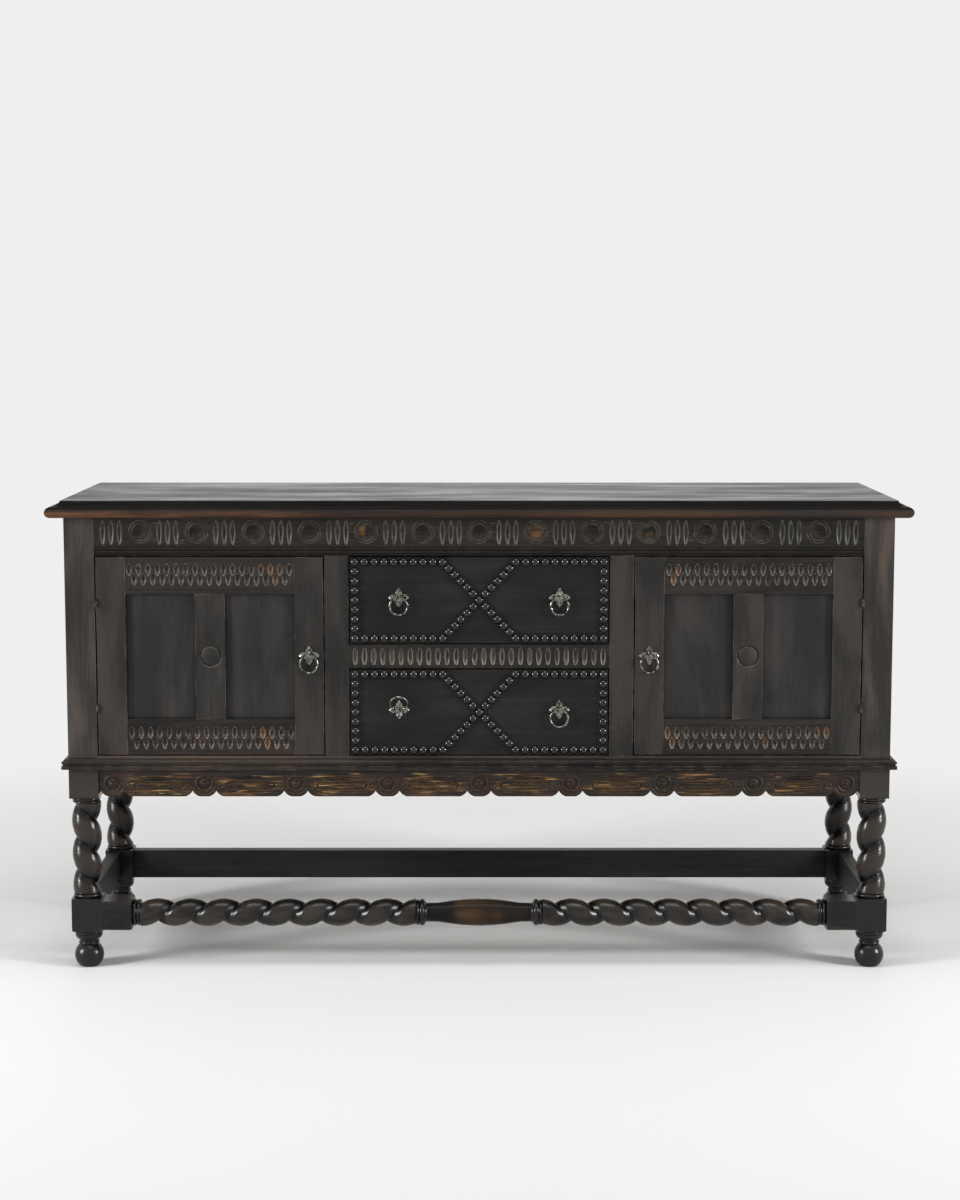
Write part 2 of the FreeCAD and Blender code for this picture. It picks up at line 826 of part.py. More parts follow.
post_leaves = []
door_leaves = []
hinge_pins = []
post_recesses = []
door_recesses = []
for hinge, level in hinge_levels.items():
    outer_knuckles = [level - knuckle_pitch, level + knuckle_pitch]
    post_leaves.append(hinge_leaf(hinge + "_post_leaf", post_leaf_x, level, outer_knuckles))
    door_leaves.append(hinge_leaf(hinge + "_door_leaf", door_leaf_x, level, [level]))
    hinge_pins.append(hinge_pin(hinge + "_hinge_pin", level))
    room = d.knuckle_radius + d.knuckle_room
    room_height = (hinge_half + d.pin_head_height + d.knuckle_room) * 2
    leaf_z = (level - d.leaf_height / 2, level + d.leaf_height / 2)
    web_y = (hinge_y, leaf_y[1])
    post_recesses.append(knuckle(hinge + "_post_knuckle_room", room, level, room_height))
    post_recesses.append(slot(hinge + "_post_leaf_seat", [post_leaf_x, web_y, leaf_z]))
    door_recesses.append(knuckle(hinge + "_door_knuckle_room", room, level, room_height))
    door_recesses.append(slot(hinge + "_door_leaf_seat", [door_leaf_x, web_y, leaf_z]))
keep_pair("hinge_post_leaves", group("post_leaves_right", post_leaves))
keep_pair("hinge_pins", group("hinge_pins_right", hinge_pins))


def leg(name, y, slots):
    """Make a leg in one piece: post, twist, lower block and ball foot, with its mortises."""
    half = d.post_width / 2
    square = ((post_inner, half_width), (y - half, y + half))
    neck_bead = arc_radius(d.neck_height, d.neck_height * d.collar_fullness)
    foot = [
        (0, 0),
        (d.foot_flat_radius, 0, twist_radius),
        (twist_radius, ball_centre, twist_radius),
        (d.neck_radius, neck_base, neck_bead),
        (d.neck_radius, neck_top),
        (d.neck_radius, cup_base, rounding(d.cup_height, d.cup_radius - d.neck_radius)),
        (d.cup_radius, cup_top),
        (0, cup_top),
    ]
    lower_band = twist_base - d.collar_band
    upper_band = twist_top + d.collar_band
    turnings = [
        turned(name + "_foot", foot),
        turned(name + "_cup_ring", collar(cup_top, block_base, d.collar_core)),
        turned(name + "_lower_collar", collar(block_top, lower_band, d.collar_core)),
        turned(name + "_lower_band", collar(lower_band, twist_base, d.collar_core)),
        turned(name + "_upper_band", collar(twist_top, upper_band, d.collar_core)),
        turned(name + "_upper_collar", collar(upper_band, post_base, d.collar_core)),
    ]
    block_turning = turned(name + "_block_turning", shoulders(d.post_width, block_base, block_top, True))
    for turning in turnings + [block_turning]:
        place(turning, leg_x, y, 0)
    strand = twist(
        name + "_twist",
        twist_top - twist_base,
        twist_radius,
        d.twist_valley,
        d.twist_pitch,
        d.twist_start_angle,
    )
    place(strand, leg_x, y, twist_base)
    block_square = block(name + "_block_square", *square, (block_base, block_top))
    blocks = [
        block(name + "_post", *square, (post_base, d.leg_height)),
        common(name + "_block", block_square, block_turning),
    ]
    return cut(name, fuse(name + "_blank", blocks + turnings + [strand]), slots)


side_slots = [
    slot("side_upper_slot", side_upper_tenon),
    slot("side_lower_slot", side_lower_tenon),
    slot("side_stretcher_slot", side_stretcher_tenon),
    side_panel_slot,
]
front_slots = [
    slot("frieze_slot", frieze_tenon),
    slot("bottom_rail_slot", bottom_rail_tenon),
    slot("apron_slot", apron_tenon),
    slot("stretcher_slot", stretcher_tenon),
]
rear_slots = [
    slot("rear_upper_slot", rear_upper_tenon),
    slot("rear_lower_slot", rear_lower_tenon),
    slot("rear_stretcher_slot", rear_stretcher_tenon),
    back_panel_slot,
]
front_leg = leg("leg_front_right", front_leg_y, side_slots + front_slots + post_recesses)
rear_leg = leg("leg_rear_right", rear_leg_y, side_slots + rear_slots)
keep(front_leg, "leg_front_right")
keep(rear_leg, "leg_rear_right")
keep(mirrored("leg_front_left", front_leg), "leg_front_left")
keep(mirrored("leg_rear_left", rear_leg), "leg_rear_left")


def top_board():
    """Make the top: a front and a side section meet in mitred corners, plain at the back."""
    low = d.leg_height
    high = low + d.top_thickness
    belt = low + d.nosing_radius
    shelf = belt + d.nosing_radius
    reach = half_width + d.top_overhang
    centre = reach - d.nosing_radius
    arris = centre - d.cove_width
    nose_y = front - d.top_overhang
    centre_y = nose_y + d.nosing_radius
    arris_y = centre_y + d.cove_width
    front_section = [
        (back, low),
        (back, high),
        (arris_y, high, -d.cove_radius),
        (centre_y, shelf, d.nosing_radius),
        (nose_y, belt, d.nosing_radius),
        (centre_y, low),
    ]
    side_section = [
        (-centre, low),
        (centre, low, d.nosing_radius),
        (reach, belt, d.nosing_radius),
        (centre, shelf, -d.cove_radius),
        (arris, high),
        (-arris, high, -d.cove_radius),
        (-centre, shelf, d.nosing_radius),
        (-reach, belt, d.nosing_radius),
    ]
    along_front = prism("top_front_section", "YZ_Plane", [front_section], reach * 2)
    place(along_front, -reach, 0, 0)
    along_sides = prism("top_side_section", "XZ_Plane", [side_section], d.body_depth + d.top_overhang)
    place(along_sides, 0, back, 0)
    return common("top_board", along_front, along_sides)


keep(top_board(), "top_board")


def base_section(wall, outward):
    """Return the base moulding's section against a wall, in the direction that it stands out."""
    lip = wall + d.base_projection * outward
    quirk = wall + (d.base_projection - d.base_quirk) * outward
    roll = wall + (d.base_projection - d.base_roll) * outward
    low = bottom_rail_base
    quirk_base = low + d.base_lip
    roll_base = quirk_base + d.base_quirk_height
    roll_middle = roll_base + d.base_roll
    return [
        (wall, low),
        (lip, low),
        (lip, quirk_base),
        (quirk, quirk_base),
        (quirk, roll_base),
        (roll, roll_base, d.base_roll * outward),
        (lip, roll_middle, d.base_roll * outward),
        (roll, roll_middle + d.base_roll, d.base_curve * outward),
        (wall + d.base_fillet * outward, low + d.base_height),
        (wall, low + d.base_height),
    ]


def base_moulding():
    """Make the base moulding: a front length and two side lengths with mitred corners."""
    reach = half_width + d.base_projection
    nose = front - d.base_projection
    front_mitre = [(-half_width, front), (-reach, nose), (reach, nose), (half_width, front)]
    side_mitre = [(half_width, front), (reach, nose), (reach, back), (half_width, back)]
    front_length = prism("base_front_section", "YZ_Plane", [base_section(front, -1)], reach * 2)
    place(front_length, -reach, 0, 0)
    side_length = prism("base_side_section", "XZ_Plane", [base_section(half_width, 1)], back - nose)
    place(side_length, 0, back, 0)
    front_prism = prism("base_front_mitre", "XY_Plane", [front_mitre], d.base_height)
    side_prism = prism("base_side_mitre", "XY_Plane", [side_mitre], d.base_height)
    for mitre in (front_prism, side_prism):
        place(mitre, 0, 0, bottom_rail_base)
    side = common("base_moulding_side", side_length, side_prism)
    along_front = common("base_moulding_front", front_length, front_prism)
    return group("base_moulding", [along_front, side, mirrored("base_moulding_left", side)])


keep(base_moulding(), "base_moulding")

# Cupboard floor on battens, notched round the posts
floor_reach = side_face - d.joint_clearance
floor_z = (d.opening_base - d.floor_thickness, d.opening_base)
floor_blank = block(
    "floor_blank",
    (-floor_reach, floor_reach),
    (frame_back + d.joint_clearance, rear_face - d.joint_clearance),
    floor_z,
)
post_notches = []
for corner, post_y in (("front", (front, post_back)), ("rear", (rear_post_front, back))):
    notch = slot(corner + "_post_notch", [(post_inner, half_width), post_y, floor_z])
    post_notches.append(notch)
    post_notches.append(mirrored(corner + "_post_notch_left", notch))
keep(cut("bottom_board", floor_blank, post_notches), "bottom_board")
batten_limits = [
    (side_face - d.batten_width, side_face),
    side_span,
    (floor_z[0] - d.batten_width, floor_z[0]),
]
keep_pair("floor_battens", block("floor_batten", *batten_limits))

# Partitions between the cupboards and the drawers, notched round the upper rear rail
partition_x = middle_span(*inner_stile_x, d.partition_thickness)
partition_blank = block(
    "partition_blank",
    partition_x,
    (frame_back, panel_front - d.joint_clearance),
    (d.opening_base, d.leg_height),
)
rear_rail_notch = slot("rear_rail_notch", (front_span, rear_y, frieze_z))
keep_pair("partitions", cut("partition", partition_blank, [rear_rail_notch]))

# Stops that the doors close against, on the back of the frieze rail
stop_limits = [
    (stile_outer + d.stop_offset, stile_outer + d.stop_offset + d.stop_width),
    (frame_back, frame_back + d.stop_depth),
    (frieze_base - d.stop_drop, frieze_base + d.stop_rise),
]
keep_pair("door_stops", block("door_stop", *stop_limits))


# Ring pulls: the ring passes loosely through the eye of a bolt
eye_bore = d.ring_wire + d.eye_room
eye_radius = eye_bore + d.eye_wall
eye_out = d.plate_thickness + eye_radius
ring_sag = d.ring_radius - root(d.ring_radius * d.ring_radius - eye_radius * eye_radius)
ring_rise = ring_sag / 2
shank_hole = d.shank_radius + d.joint_clearance
backward = Vector(0, 1, 0)
forward = Vector(0, -1, 0)


def pull_plate():
    """Make the plate of a ring pull, with four pointed leaves, centred on its bolt."""
    side = d.plate_side_reach
    reach = d.plate_reach
    waist = d.plate_waist
    curve = d.plate_curve
    outline = [
        (side, 0, curve),
        (waist, waist, curve),
        (0, reach, curve),
        (-waist, waist, curve),
        (-side, 0, curve),
        (-waist, -waist, curve),
        (0, -reach, curve),
        (waist, -waist, curve),
    ]
    plate = prism("pull_plate_blank", "XZ_Plane", [outline], d.plate_thickness)
    margin = d.plate_thickness
    hole = cylinder("pull_plate_hole", shank_hole, margin * 3, forward, 0, margin, 0)
    return cut("pull_plate", plate, [hole])


def pull_bolt():
    """Make the eye bolt of a ring pull and the nut behind the wood."""
    eye_start = -d.plate_thickness
    shank_length = d.plate_thickness + front_thickness + d.nut_thickness + d.shank_end
    eye = cylinder("pull_eye", eye_radius, eye_radius * 2, forward, 0, eye_start, 0)
    shank = cylinder("pull_shank", d.shank_radius, shank_length, backward, 0, eye_start, 0)
    bore_length = eye_radius * 4
    bore = cylinder("pull_eye_bore", eye_bore, bore_length, Vector(1, 0, 0), -bore_length / 2, -eye_out, 0)
    bolt = cut("pull_eye_bolt", fuse("pull_eye_blank", [eye, shank]), [bore])
    half = d.nut_width / 2
    nut_y = (front_thickness, front_thickness + d.nut_thickness)
    nut_blank = block("pull_nut_blank", (-half, half), nut_y, (-half, half))
    thread_start = front_thickness - d.nut_thickness
    thread_radius = d.shank_radius + d.pin_clearance
    thread = cylinder("pull_nut_hole", thread_radius, d.nut_thickness * 3, backward, 0, thread_start, 0)
    return group("pull_bolt", [bolt, cut("pull_nut", nut_blank, [thread])])


def pull_ring():
    """Make the ring of a pull, hanging from the origin."""
    ring = doc.addObject("Part::Torus", "pull_ring")
    bind(ring, "Radius1", d.ring_radius)
    bind(ring, "Radius2", d.ring_wire)
    ring.Placement.Rotation = FreeCAD.Rotation(Vector(1, 0, 0), 90)
    return place(ring, 0, 0, ring_rise - d.ring_radius)


plate_pattern = pull_plate()
bolt_pattern = pull_bolt()
ring_pattern = pull_ring()


def copy_of(name, pattern, x, y, z, rotation=FreeCAD.Rotation()):
    """Place a copy of a pull's piece."""
    piece = group(name, [pattern])
    piece.Placement.Rotation = rotation
    return place(piece, x, y, z)


def ring_copy(name, x, z, rotation=FreeCAD.Rotation()):
    """Hang a ring in the eye of the pull at a point of the front."""
    return keep(copy_of(name, ring_pattern, x, front - eye_out, z, rotation), name)


def bolt_hole(name, x, z):
    """Make the cutter for a pull's bolt hole."""
    return cylinder(name, shank_hole, front_thickness * 3, backward, x, front - front_thickness, z)


# The right door, and the left door as its mirror image
door_y = (front, front + front_thickness)
door_panel_y = (front + d.door_panel_recess, front + d.door_panel_recess + d.door_panel_thickness)
lock_stile_x = (door_low, door_low + d.door_stile_width)
hinge_stile_x = (door_high - d.door_stile_width, door_high)
door_rail_x = (lock_stile_x[1], hinge_stile_x[0])
top_rail_z = (door_z[1] - d.door_top_rail, door_z[1])
foot_rail_z = (door_z[0], door_z[0] + d.door_bottom_rail)
field_z = (foot_rail_z[1], top_rail_z[0])
muntin_x = middle_span(*door_rail_x, d.muntin_width)
door_pull_x = (lock_stile_x[0] + lock_stile_x[1]) / 2
door_pull_z = (door_z[0] + door_z[1]) / 2 + d.door_pull_lift


def tongue(span):
    """Lengthen a span by the tongues that enter the grooves at both its ends."""
    return (span[0] - d.groove_depth + d.joint_clearance, span[1] + d.groove_depth - d.joint_clearance)


def groove(span):
    """Lengthen a span by the depth of the grooves at both its ends."""
    return (span[0] - d.groove_depth, span[1] + d.groove_depth)


def right_door():
    """Return the right door's pieces by name: grooved stiles and rails, muntin and panels."""
    groove_y = (door_panel_y[0] - d.joint_clearance / 2, door_panel_y[1] + d.joint_clearance / 2)
    frame_groove = block("door_groove", groove(door_rail_x), groove_y, door_z)
    lock_blank = block("lock_stile_blank", lock_stile_x, door_y, door_z)
    lock_hole = bolt_hole("door_bolt_hole", door_pull_x, door_pull_z)
    lock_stile = cut("lock_stile", lock_blank, [frame_groove, lock_hole])
    hinge_blank = block("hinge_stile_blank", hinge_stile_x, door_y, door_z)
    hinge_stile = cut("hinge_stile", hinge_blank, [frame_groove] + door_recesses)
    field_groove = block("field_groove", groove(door_rail_x), groove_y, groove(field_z))
    rails = []
    for name, rail_z in (("door_top_rail", top_rail_z), ("door_bottom_rail", foot_rail_z)):
        body = block(name + "_body", door_rail_x, door_y, rail_z)
        end_tongue = block(name + "_tongue", tongue(door_rail_x), door_panel_y, rail_z)
        rails.append(cut(name, fuse(name + "_blank", [body, end_tongue]), [field_groove]))
    muntin_body = block("muntin_body", muntin_x, door_y, field_z)
    muntin_tongue = block("muntin_tongue", muntin_x, door_panel_y, tongue(field_z))
    bays = {"outer": (muntin_x[1], door_rail_x[1]), "inner": (door_rail_x[0], muntin_x[0])}
    panels = []
    side_grooves = []
    for bay, bay_x in bays.items():
        side_grooves.append(block(bay + "_bay_groove", groove(bay_x), groove_y, groove(field_z)))
        panels.append(block(bay + "_panel", tongue(bay_x), door_panel_y, tongue(field_z)))
    muntin = cut("muntin", fuse("muntin_blank", [muntin_body, muntin_tongue]), side_grooves)
    return {
        "stiles": group("door_stiles", [lock_stile, hinge_stile]),
        "rails": group("door_rails", rails),
        "muntin": muntin,
        "panels": group("door_panels", panels),
        "hinge_leaves": group("door_hinge_leaves", door_leaves),
        "pull_plate": copy_of("door_pull_plate", plate_pattern, door_pull_x, front, door_pull_z),
        "pull_bolt": copy_of("door_pull_bolt", bolt_pattern, door_pull_x, front, door_pull_z),
    }


for name, piece in right_door().items():
    keep(piece, "right_door_" + name)
    keep(mirrored("left_door_" + name, piece), "left_door_" + name)
right_ring = ring_copy("right_door_pull_ring", door_pull_x, door_pull_z)
keep(mirrored("left_door_pull_ring", right_ring), "left_door_pull_ring")


def dome(x, z):
    """Return one bead as a dome that stands on the strip, at a point of the drawer front."""
    ball = arc_radius(d.bead_radius * 2, d.bead_height).value
    strip_face = front.value - d.bead_strip_thickness.value
    centre = Vector(x, strip_face - d.bead_height.value + ball, z)
    lowest = math.degrees(math.asin((ball - d.bead_height.value - d.bead_sink.value) / ball))
    return Part.makeSphere(ball, centre, Vector(0, -1, 0), lowest, 90, 360)


def bead_run(start, end, count):
    """Return a straight strip between two points and the beads along it, ends included."""
    width = d.bead_strip_width.value
    thickness = d.bead_strip_thickness.value
    along = end - start
    strip = Part.makeBox(along.Length + width, thickness, width)
    strip.translate(Vector(-width / 2, 0, -width / 2))
    strip.rotate(Vector(), Vector(0, 1, 0), -math.degrees(math.atan2(along.z, along.x)))
    strip.translate(start + Vector(0, front.value - thickness, 0))
    shapes = [strip]
    for index in range(count):
        point = start + along * (index / (count - 1))
        shapes.append(dome(point.x, point.z))
    return shapes


def beading(name, z):
    """Make a drawer's beading: a frame of beaded strips with a beaded cross in the middle."""
    inset = d.bead_strip_width / 2
    column = (bay_half - d.door_gap - inset).value
    low = (z[0] + inset).value
    high = (z[1] - inset).value
    reach = d.cross_reach.value
    middle = (low + high) / 2
    side_count = int(d.side_beads.value)
    row_count = int(d.row_beads.value)
    arm_count = int(d.cross_beads.value) + 2
    shapes = []
    for side in (-1, 1):
        shapes += bead_run(Vector(side * column, 0, low), Vector(side * column, 0, high), side_count)
        for level in (low, high):
            shapes += bead_run(Vector(side * reach, 0, level), Vector(side * column, 0, level), row_count)
            shapes += bead_run(Vector(side * reach, 0, level), Vector(0, 0, middle), arm_count)
    height = (z[1] - z[0]).value
    width = (bay_half - d.door_gap).value * 2
    depth = d.bead_strip_thickness.value + d.bead_height.value
    trim = Part.makeBox(width, depth, height, Vector(-width / 2, front.value - depth, z[0].value))
    piece = doc.addObject("Part::Feature", name)
    piece.Shape = shapes[0].multiFuse(shapes[1:]).common(trim).removeSplitter()
    return piece


def drawer(name, opening_z, left_swing):
    """Make a drawer: beaded front, lapped sides, back, bottom and two ring pulls."""
    half = bay_half - d.door_gap
    z = (opening_z[0] + d.door_gap, opening_z[1] - d.door_gap)
    inner = half - d.drawer_side_thickness
    front_y = (front, front + front_thickness)
    side_z = (z[0] + d.drawer_side_rise, z[1] - d.drawer_side_drop)
    box_back = panel_front - d.drawer_rear_room
    side_limits = [(inner, half), (front_y[1] - d.drawer_lap, box_back), side_z]
    bottom_low = side_z[0] + d.drawer_bottom_rise
    bottom_limits = [
        (-inner - d.drawer_groove, inner + d.drawer_groove),
        (front_y[1] - d.drawer_groove, box_back),
        (bottom_low, bottom_low + d.drawer_bottom_thickness),
    ]
    bottom_slot = slot(name + "_bottom_slot", bottom_limits)
    lap_right = slot(name + "_lap_right", side_limits)
    pull_x = d.drawer_pull_offset
    pull_level = (z[0] + z[1]) / 2 + d.drawer_pull_lift
    front_cuts = [
        bottom_slot,
        lap_right,
        mirrored(name + "_lap_left", lap_right),
        bolt_hole(name + "_right_hole", pull_x, pull_level),
        bolt_hole(name + "_left_hole", -pull_x, pull_level),
    ]
    front_blank = block(name + "_front_blank", (-half, half), front_y, z)
    keep(cut(name + "_front", front_blank, front_cuts), name + "_front")
    keep(beading(name + "_beading", z), name + "_beading")
    side = cut(name + "_side", block(name + "_side_blank", *side_limits), [bottom_slot])
    keep_pair(name + "_sides", side)
    back_low = bottom_low + d.drawer_bottom_thickness + d.joint_clearance
    back_reach = inner - d.joint_clearance
    back_y = (box_back - d.drawer_side_thickness, box_back)
    back_z = (back_low, z[1] - d.drawer_back_drop)
    keep(block(name + "_back", (-back_reach, back_reach), back_y, back_z), name + "_back")
    keep(block(name + "_bottom", *bottom_limits), name + "_bottom")
    plates = []
    bolts = []
    for hand, x in (("left", -pull_x), ("right", pull_x)):
        stem = f"{name}_{hand}_pull"
        plates.append(copy_of(stem + "_plate", plate_pattern, x, front, pull_level))
        bolts.append(copy_of(stem + "_bolt", bolt_pattern, x, front, pull_level))
    keep(group(name + "_pull_plates", plates), name + "_pull_plates")
    keep(group(name + "_pull_bolts", bolts), name + "_pull_bolts")
    swung = FreeCAD.Rotation(Vector(1, 0, 0), -left_swing.value)
    ring_copy(name + "_left_pull_ring", -pull_x, pull_level, swung)
    ring_copy(name + "_right_pull_ring", pull_x, pull_level)


def drawer_runner(name, opening_base):
    """Make a right-hand runner with the guide strip that keeps the drawer straight."""
    top = opening_base + d.door_gap + d.drawer_side_rise - d.running_gap
    run_y = (frame_back + d.joint_clearance, panel_front - d.joint_clearance)
    shelf_x = (partition_x[0] - d.runner_width, partition_x[0])
    shelf = block(name + "_shelf", shelf_x, run_y, (opening_base, top))
    guide = block(name + "_guide", (bay_half, partition_x[0]), run_y, (top, top + d.guide_height))
    return fuse(name, [shelf, guide])


upper_opening = (divider_z[1], frieze_base)
lower_opening = (d.opening_base, divider_z[0])
drawer("upper_drawer", upper_opening, as_size(0))
drawer("lower_drawer", lower_opening, d.ring_swing)
runners = [drawer_runner("upper_runner", divider_z[1]), drawer_runner("lower_runner", d.opening_base)]
keep_pair("drawer_runners", group("runners_right", runners))


def write_parts():
    """Check every object, then write each sub-part to its own file."""
    doc.recompute()
    for thing in doc.Objects:
        if "Invalid" in thing.State or "Error" in thing.State:
            raise RuntimeError(f"{thing.Name} failed: {thing.State}")
    for node in nodes:
        if node.Shape.isNull() or not node.Shape.isValid():
            raise RuntimeError(f"{node.Label} has no valid shape")
        if not node.Shape.Solids:
            raise RuntimeError(f"{node.Label} holds no solid")
    os.makedirs("parts", exist_ok=True)
    for node in nodes:
        node.Shape.exportStep(os.path.join("parts", node.Label + ".step"))
    print(len(nodes), "sub-parts written")


write_parts()
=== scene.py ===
"""Looks of a carved buffet cabinet on twist-turned legs, dressed round its fixed frame.

Everything is in metres. +Z is up, +X is to the right and the front faces -Y.
"""

import logging
import math
from dataclasses import dataclass
from enum import Enum
from functools import reduce
from typing import Callable, Iterable, Sequence

import bmesh
import bpy
from mathutils import Matrix, Vector


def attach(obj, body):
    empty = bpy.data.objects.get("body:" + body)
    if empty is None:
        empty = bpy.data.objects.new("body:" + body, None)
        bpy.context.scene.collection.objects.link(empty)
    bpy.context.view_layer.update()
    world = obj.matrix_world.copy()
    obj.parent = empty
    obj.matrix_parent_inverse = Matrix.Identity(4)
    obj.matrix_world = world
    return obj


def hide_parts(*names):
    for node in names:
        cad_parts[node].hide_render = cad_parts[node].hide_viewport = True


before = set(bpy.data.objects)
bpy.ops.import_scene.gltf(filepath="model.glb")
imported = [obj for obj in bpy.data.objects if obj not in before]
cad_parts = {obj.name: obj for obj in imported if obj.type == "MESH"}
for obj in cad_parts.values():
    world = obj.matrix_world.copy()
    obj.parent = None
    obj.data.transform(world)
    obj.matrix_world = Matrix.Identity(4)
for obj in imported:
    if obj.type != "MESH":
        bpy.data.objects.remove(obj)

LOG = logging.getLogger("buffet")
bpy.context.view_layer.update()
MM = 0.001
QUARTER = math.pi / 2
FULL = 2 * math.pi
FRONT = -221.5 * MM
APRON_FRONT = FRONT + 3 * MM
APRON_PITCH = 177 * MM
DOOR_MIDDLE = 515.75 * MM
MIDDLE_LEVEL = 615 * MM
NEARLY = 0.9

Colour = tuple[float, float, float]
Triple = tuple[float, float, float]
Span = tuple[float, float]
Piece = bpy.types.Object
Socket = bpy.types.NodeSocket
Value = Socket | float | Colour

FIGURE_SPAN: Span = (0.38, 0.6)
STREAK_SPAN: Span = (0.4, 0.6)
SPOT_SPAN: Span = (0.36, 0.56)
PATCH_SPAN: Span = (0.4, 0.58)
WIDE_SPAN: Span = (0.3, 0.7)


def tint(red: int, green: int, blue: int) -> Colour:
    """Turn a colour of 0 to 255, as a screen shows it, into light levels.

    Args:
        red: The red level.
        green: The green level.
        blue: The blue level.

    Returns:
        The three light levels from 0 to 1.
    """
    levels = []
    for level in (red, green, blue):
        share = level / 255
        levels.append(share / 12.92 if share <= 0.04045 else ((share + 0.055) / 1.055) ** 2.4)
    return (levels[0], levels[1], levels[2])


def tints(*colours: tuple[int, int, int]) -> list[Colour]:
    """Turn several colours of 0 to 255 into light levels."""
    return [tint(*colour) for colour in colours]


# Painted shade, mixed with grime, for inner corners and for the valleys of turnings.
CORNER_SHADE_AND_GRIME = tint(6, 5, 5)
VALLEY_SHADE_AND_DIRT = tint(8, 7, 7)
APRON_CORNER_SHADE_AND_GRIME = tint(8, 6, 5)
METAL_CORNER_SHADE_AND_GRIME = tint(14, 12, 10)


class Grain(Enum):
    """The axis that the grain of a board runs along."""

    ALONG_X = 0
    ALONG_Y = 1
    ALONG_Z = 2

    def stretch(self, share: float) -> Triple:
        """Give the scale that draws a pattern out along the grain.

        Args:
            share: The scale along the grain.

        Returns:
            The scale along each axis.
        """
        scale = [1.0, 1.0, 1.0]
        scale[self.value] = share
        return (scale[0], scale[1], scale[2])


class Element(Enum):
    """What is picked on an open mesh."""

    CORNER = "VERT"
    EDGE = "EDGE"
    FACE = "FACE"


class Bench:
    """The maker's hand operations on a piece."""

    @staticmethod
    def take(*pieces: Piece) -> None:
        """Select these pieces and nothing else.

        Args:
            pieces: The pieces to select, of which the first becomes active.
        """
        if bpy.context.mode != "OBJECT":
            bpy.ops.object.mode_set(mode="OBJECT")
        bpy.ops.object.select_all(action="DESELECT")
        for piece in pieces:
            piece.select_set(True)
        bpy.context.view_layer.objects.active = pieces[0]

    @staticmethod
    def open_up(piece: Piece, element: Element = Element.CORNER) -> None:
        """Open a piece for editing with all of it selected.

        Args:
            piece: The piece to edit.
            element: The kind of element to work on.
        """
        Bench.take(piece)
        bpy.ops.object.mode_set(mode="EDIT")
        bpy.ops.mesh.select_mode(type=element.value)
        bpy.ops.mesh.select_all(action="SELECT")

    @staticmethod
    def pick(piece: Piece, element: Element, test: Callable[[Vector], bool]) -> None:
        """Open a piece with only the elements selected whose middle passes a test.

        Args:
            piece: The piece to edit.
            element: The kind of element to pick.
            test: The test of an element's middle point.
        """
        Bench.open_up(piece, element)
        bpy.ops.mesh.select_all(action="DESELECT")
        mesh = bmesh.from_edit_mesh(piece.data)
        parts = {Element.CORNER: mesh.verts, Element.EDGE: mesh.edges, Element.FACE: mesh.faces}
        for part in parts[element]:
            corners = [part] if element is Element.CORNER else part.verts
            middle = sum((corner.co for corner in corners), Vector()) / len(corners)
            part.select_set(test(middle))
        mesh.select_flush_mode()
        bmesh.update_edit_mesh(piece.data)

    @staticmethod
    def close_up() -> None:
        """Merge the doubles of the open piece, turn its faces outwards and close it."""
        bpy.ops.mesh.select_all(action="SELECT")
        bpy.ops.mesh.remove_doubles(threshold=0.004 * MM)
        bpy.ops.mesh.normals_make_consistent(inside=False)
        bpy.ops.object.mode_set(mode="OBJECT")

    @staticmethod
    def work(piece: Piece, kind: str, **settings: object) -> None:
        """Put a modifier on a piece and apply it.

        Args:
            piece: The piece.
            kind: The modifier's type.
            settings: The modifier's settings by name.
        """
        Bench.take(piece)
        modifier = piece.modifiers.new(kind.lower(), kind)
        for name, value in settings.items():
            setattr(modifier, name, value)
        bpy.ops.object.modifier_apply(modifier=modifier.name)

    @staticmethod
    def started(name: str) -> Piece:
        """Settle a primitive that was just added, with its place in its mesh.

        Args:
            name: The name for the piece.

        Returns:
            The piece.
        """
        piece = bpy.context.object
        Bench.take(piece)
        bpy.ops.object.transform_apply(location=True, rotation=True, scale=True)
        piece.name = name
        return piece

    @staticmethod
    def copied(piece: Piece, name: str, move: Matrix = Matrix.Identity(4)) -> Piece:
        """Copy a piece with its own mesh.

        Args:
            piece: The piece to copy.
            name: The name for the copy.
            move: The turn and shift that the copy's mesh gets.

        Returns:
            The copy.
        """
        copy = bpy.data.objects.new(name, piece.data.copy())
        copy.data.transform(move)
        bpy.context.scene.collection.objects.link(copy)
        return copy

    @staticmethod
    def from_frame(node: str, name: str) -> Piece:
        """Copy a node of the frame as one merged shell.

        Args:
            node: The node's name.
            name: The name for the copy.

        Returns:
            The copy, with flat faces whole again.
        """
        copy = Bench.copied(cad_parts[node], name)
        Bench.open_up(copy)
        bpy.ops.mesh.remove_doubles(threshold=0.001 * MM)
        bpy.ops.mesh.dissolve_limited(angle_limit=math.radians(0.5))
        bpy.ops.object.mode_set(mode="OBJECT")
        copy.data.materials.clear()
        return copy

    @staticmethod
    def joined(name: str, pieces: Sequence[Piece]) -> Piece:
        """Join pieces into one object.

        Args:
            name: The name for the whole.
            pieces: The pieces, which are used up.

        Returns:
            The joined object.
        """
        Bench.take(*pieces)
        if len(pieces) > 1:
            bpy.ops.object.join()
        pieces[0].name = name
        return pieces[0]

    @staticmethod
    def combine(piece: Piece, other: Piece, operation: str) -> None:
        """Cut another shape out of a piece or weld it on, and use the other shape up.

        Args:
            piece: The piece that changes.
            other: The shape that is cut out or welded on.
            operation: DIFFERENCE or UNION.
        """
        before = len(piece.data.vertices)
        Bench.work(
            piece,
            "BOOLEAN",
            operation=operation,
            object=other,
            solver="MANIFOLD",
            material_mode="TRANSFER",
        )
        if len(piece.data.vertices) == before:
            LOG.warning("piece %s is unchanged by %s", piece.name, other.name)
        bpy.data.objects.remove(other)

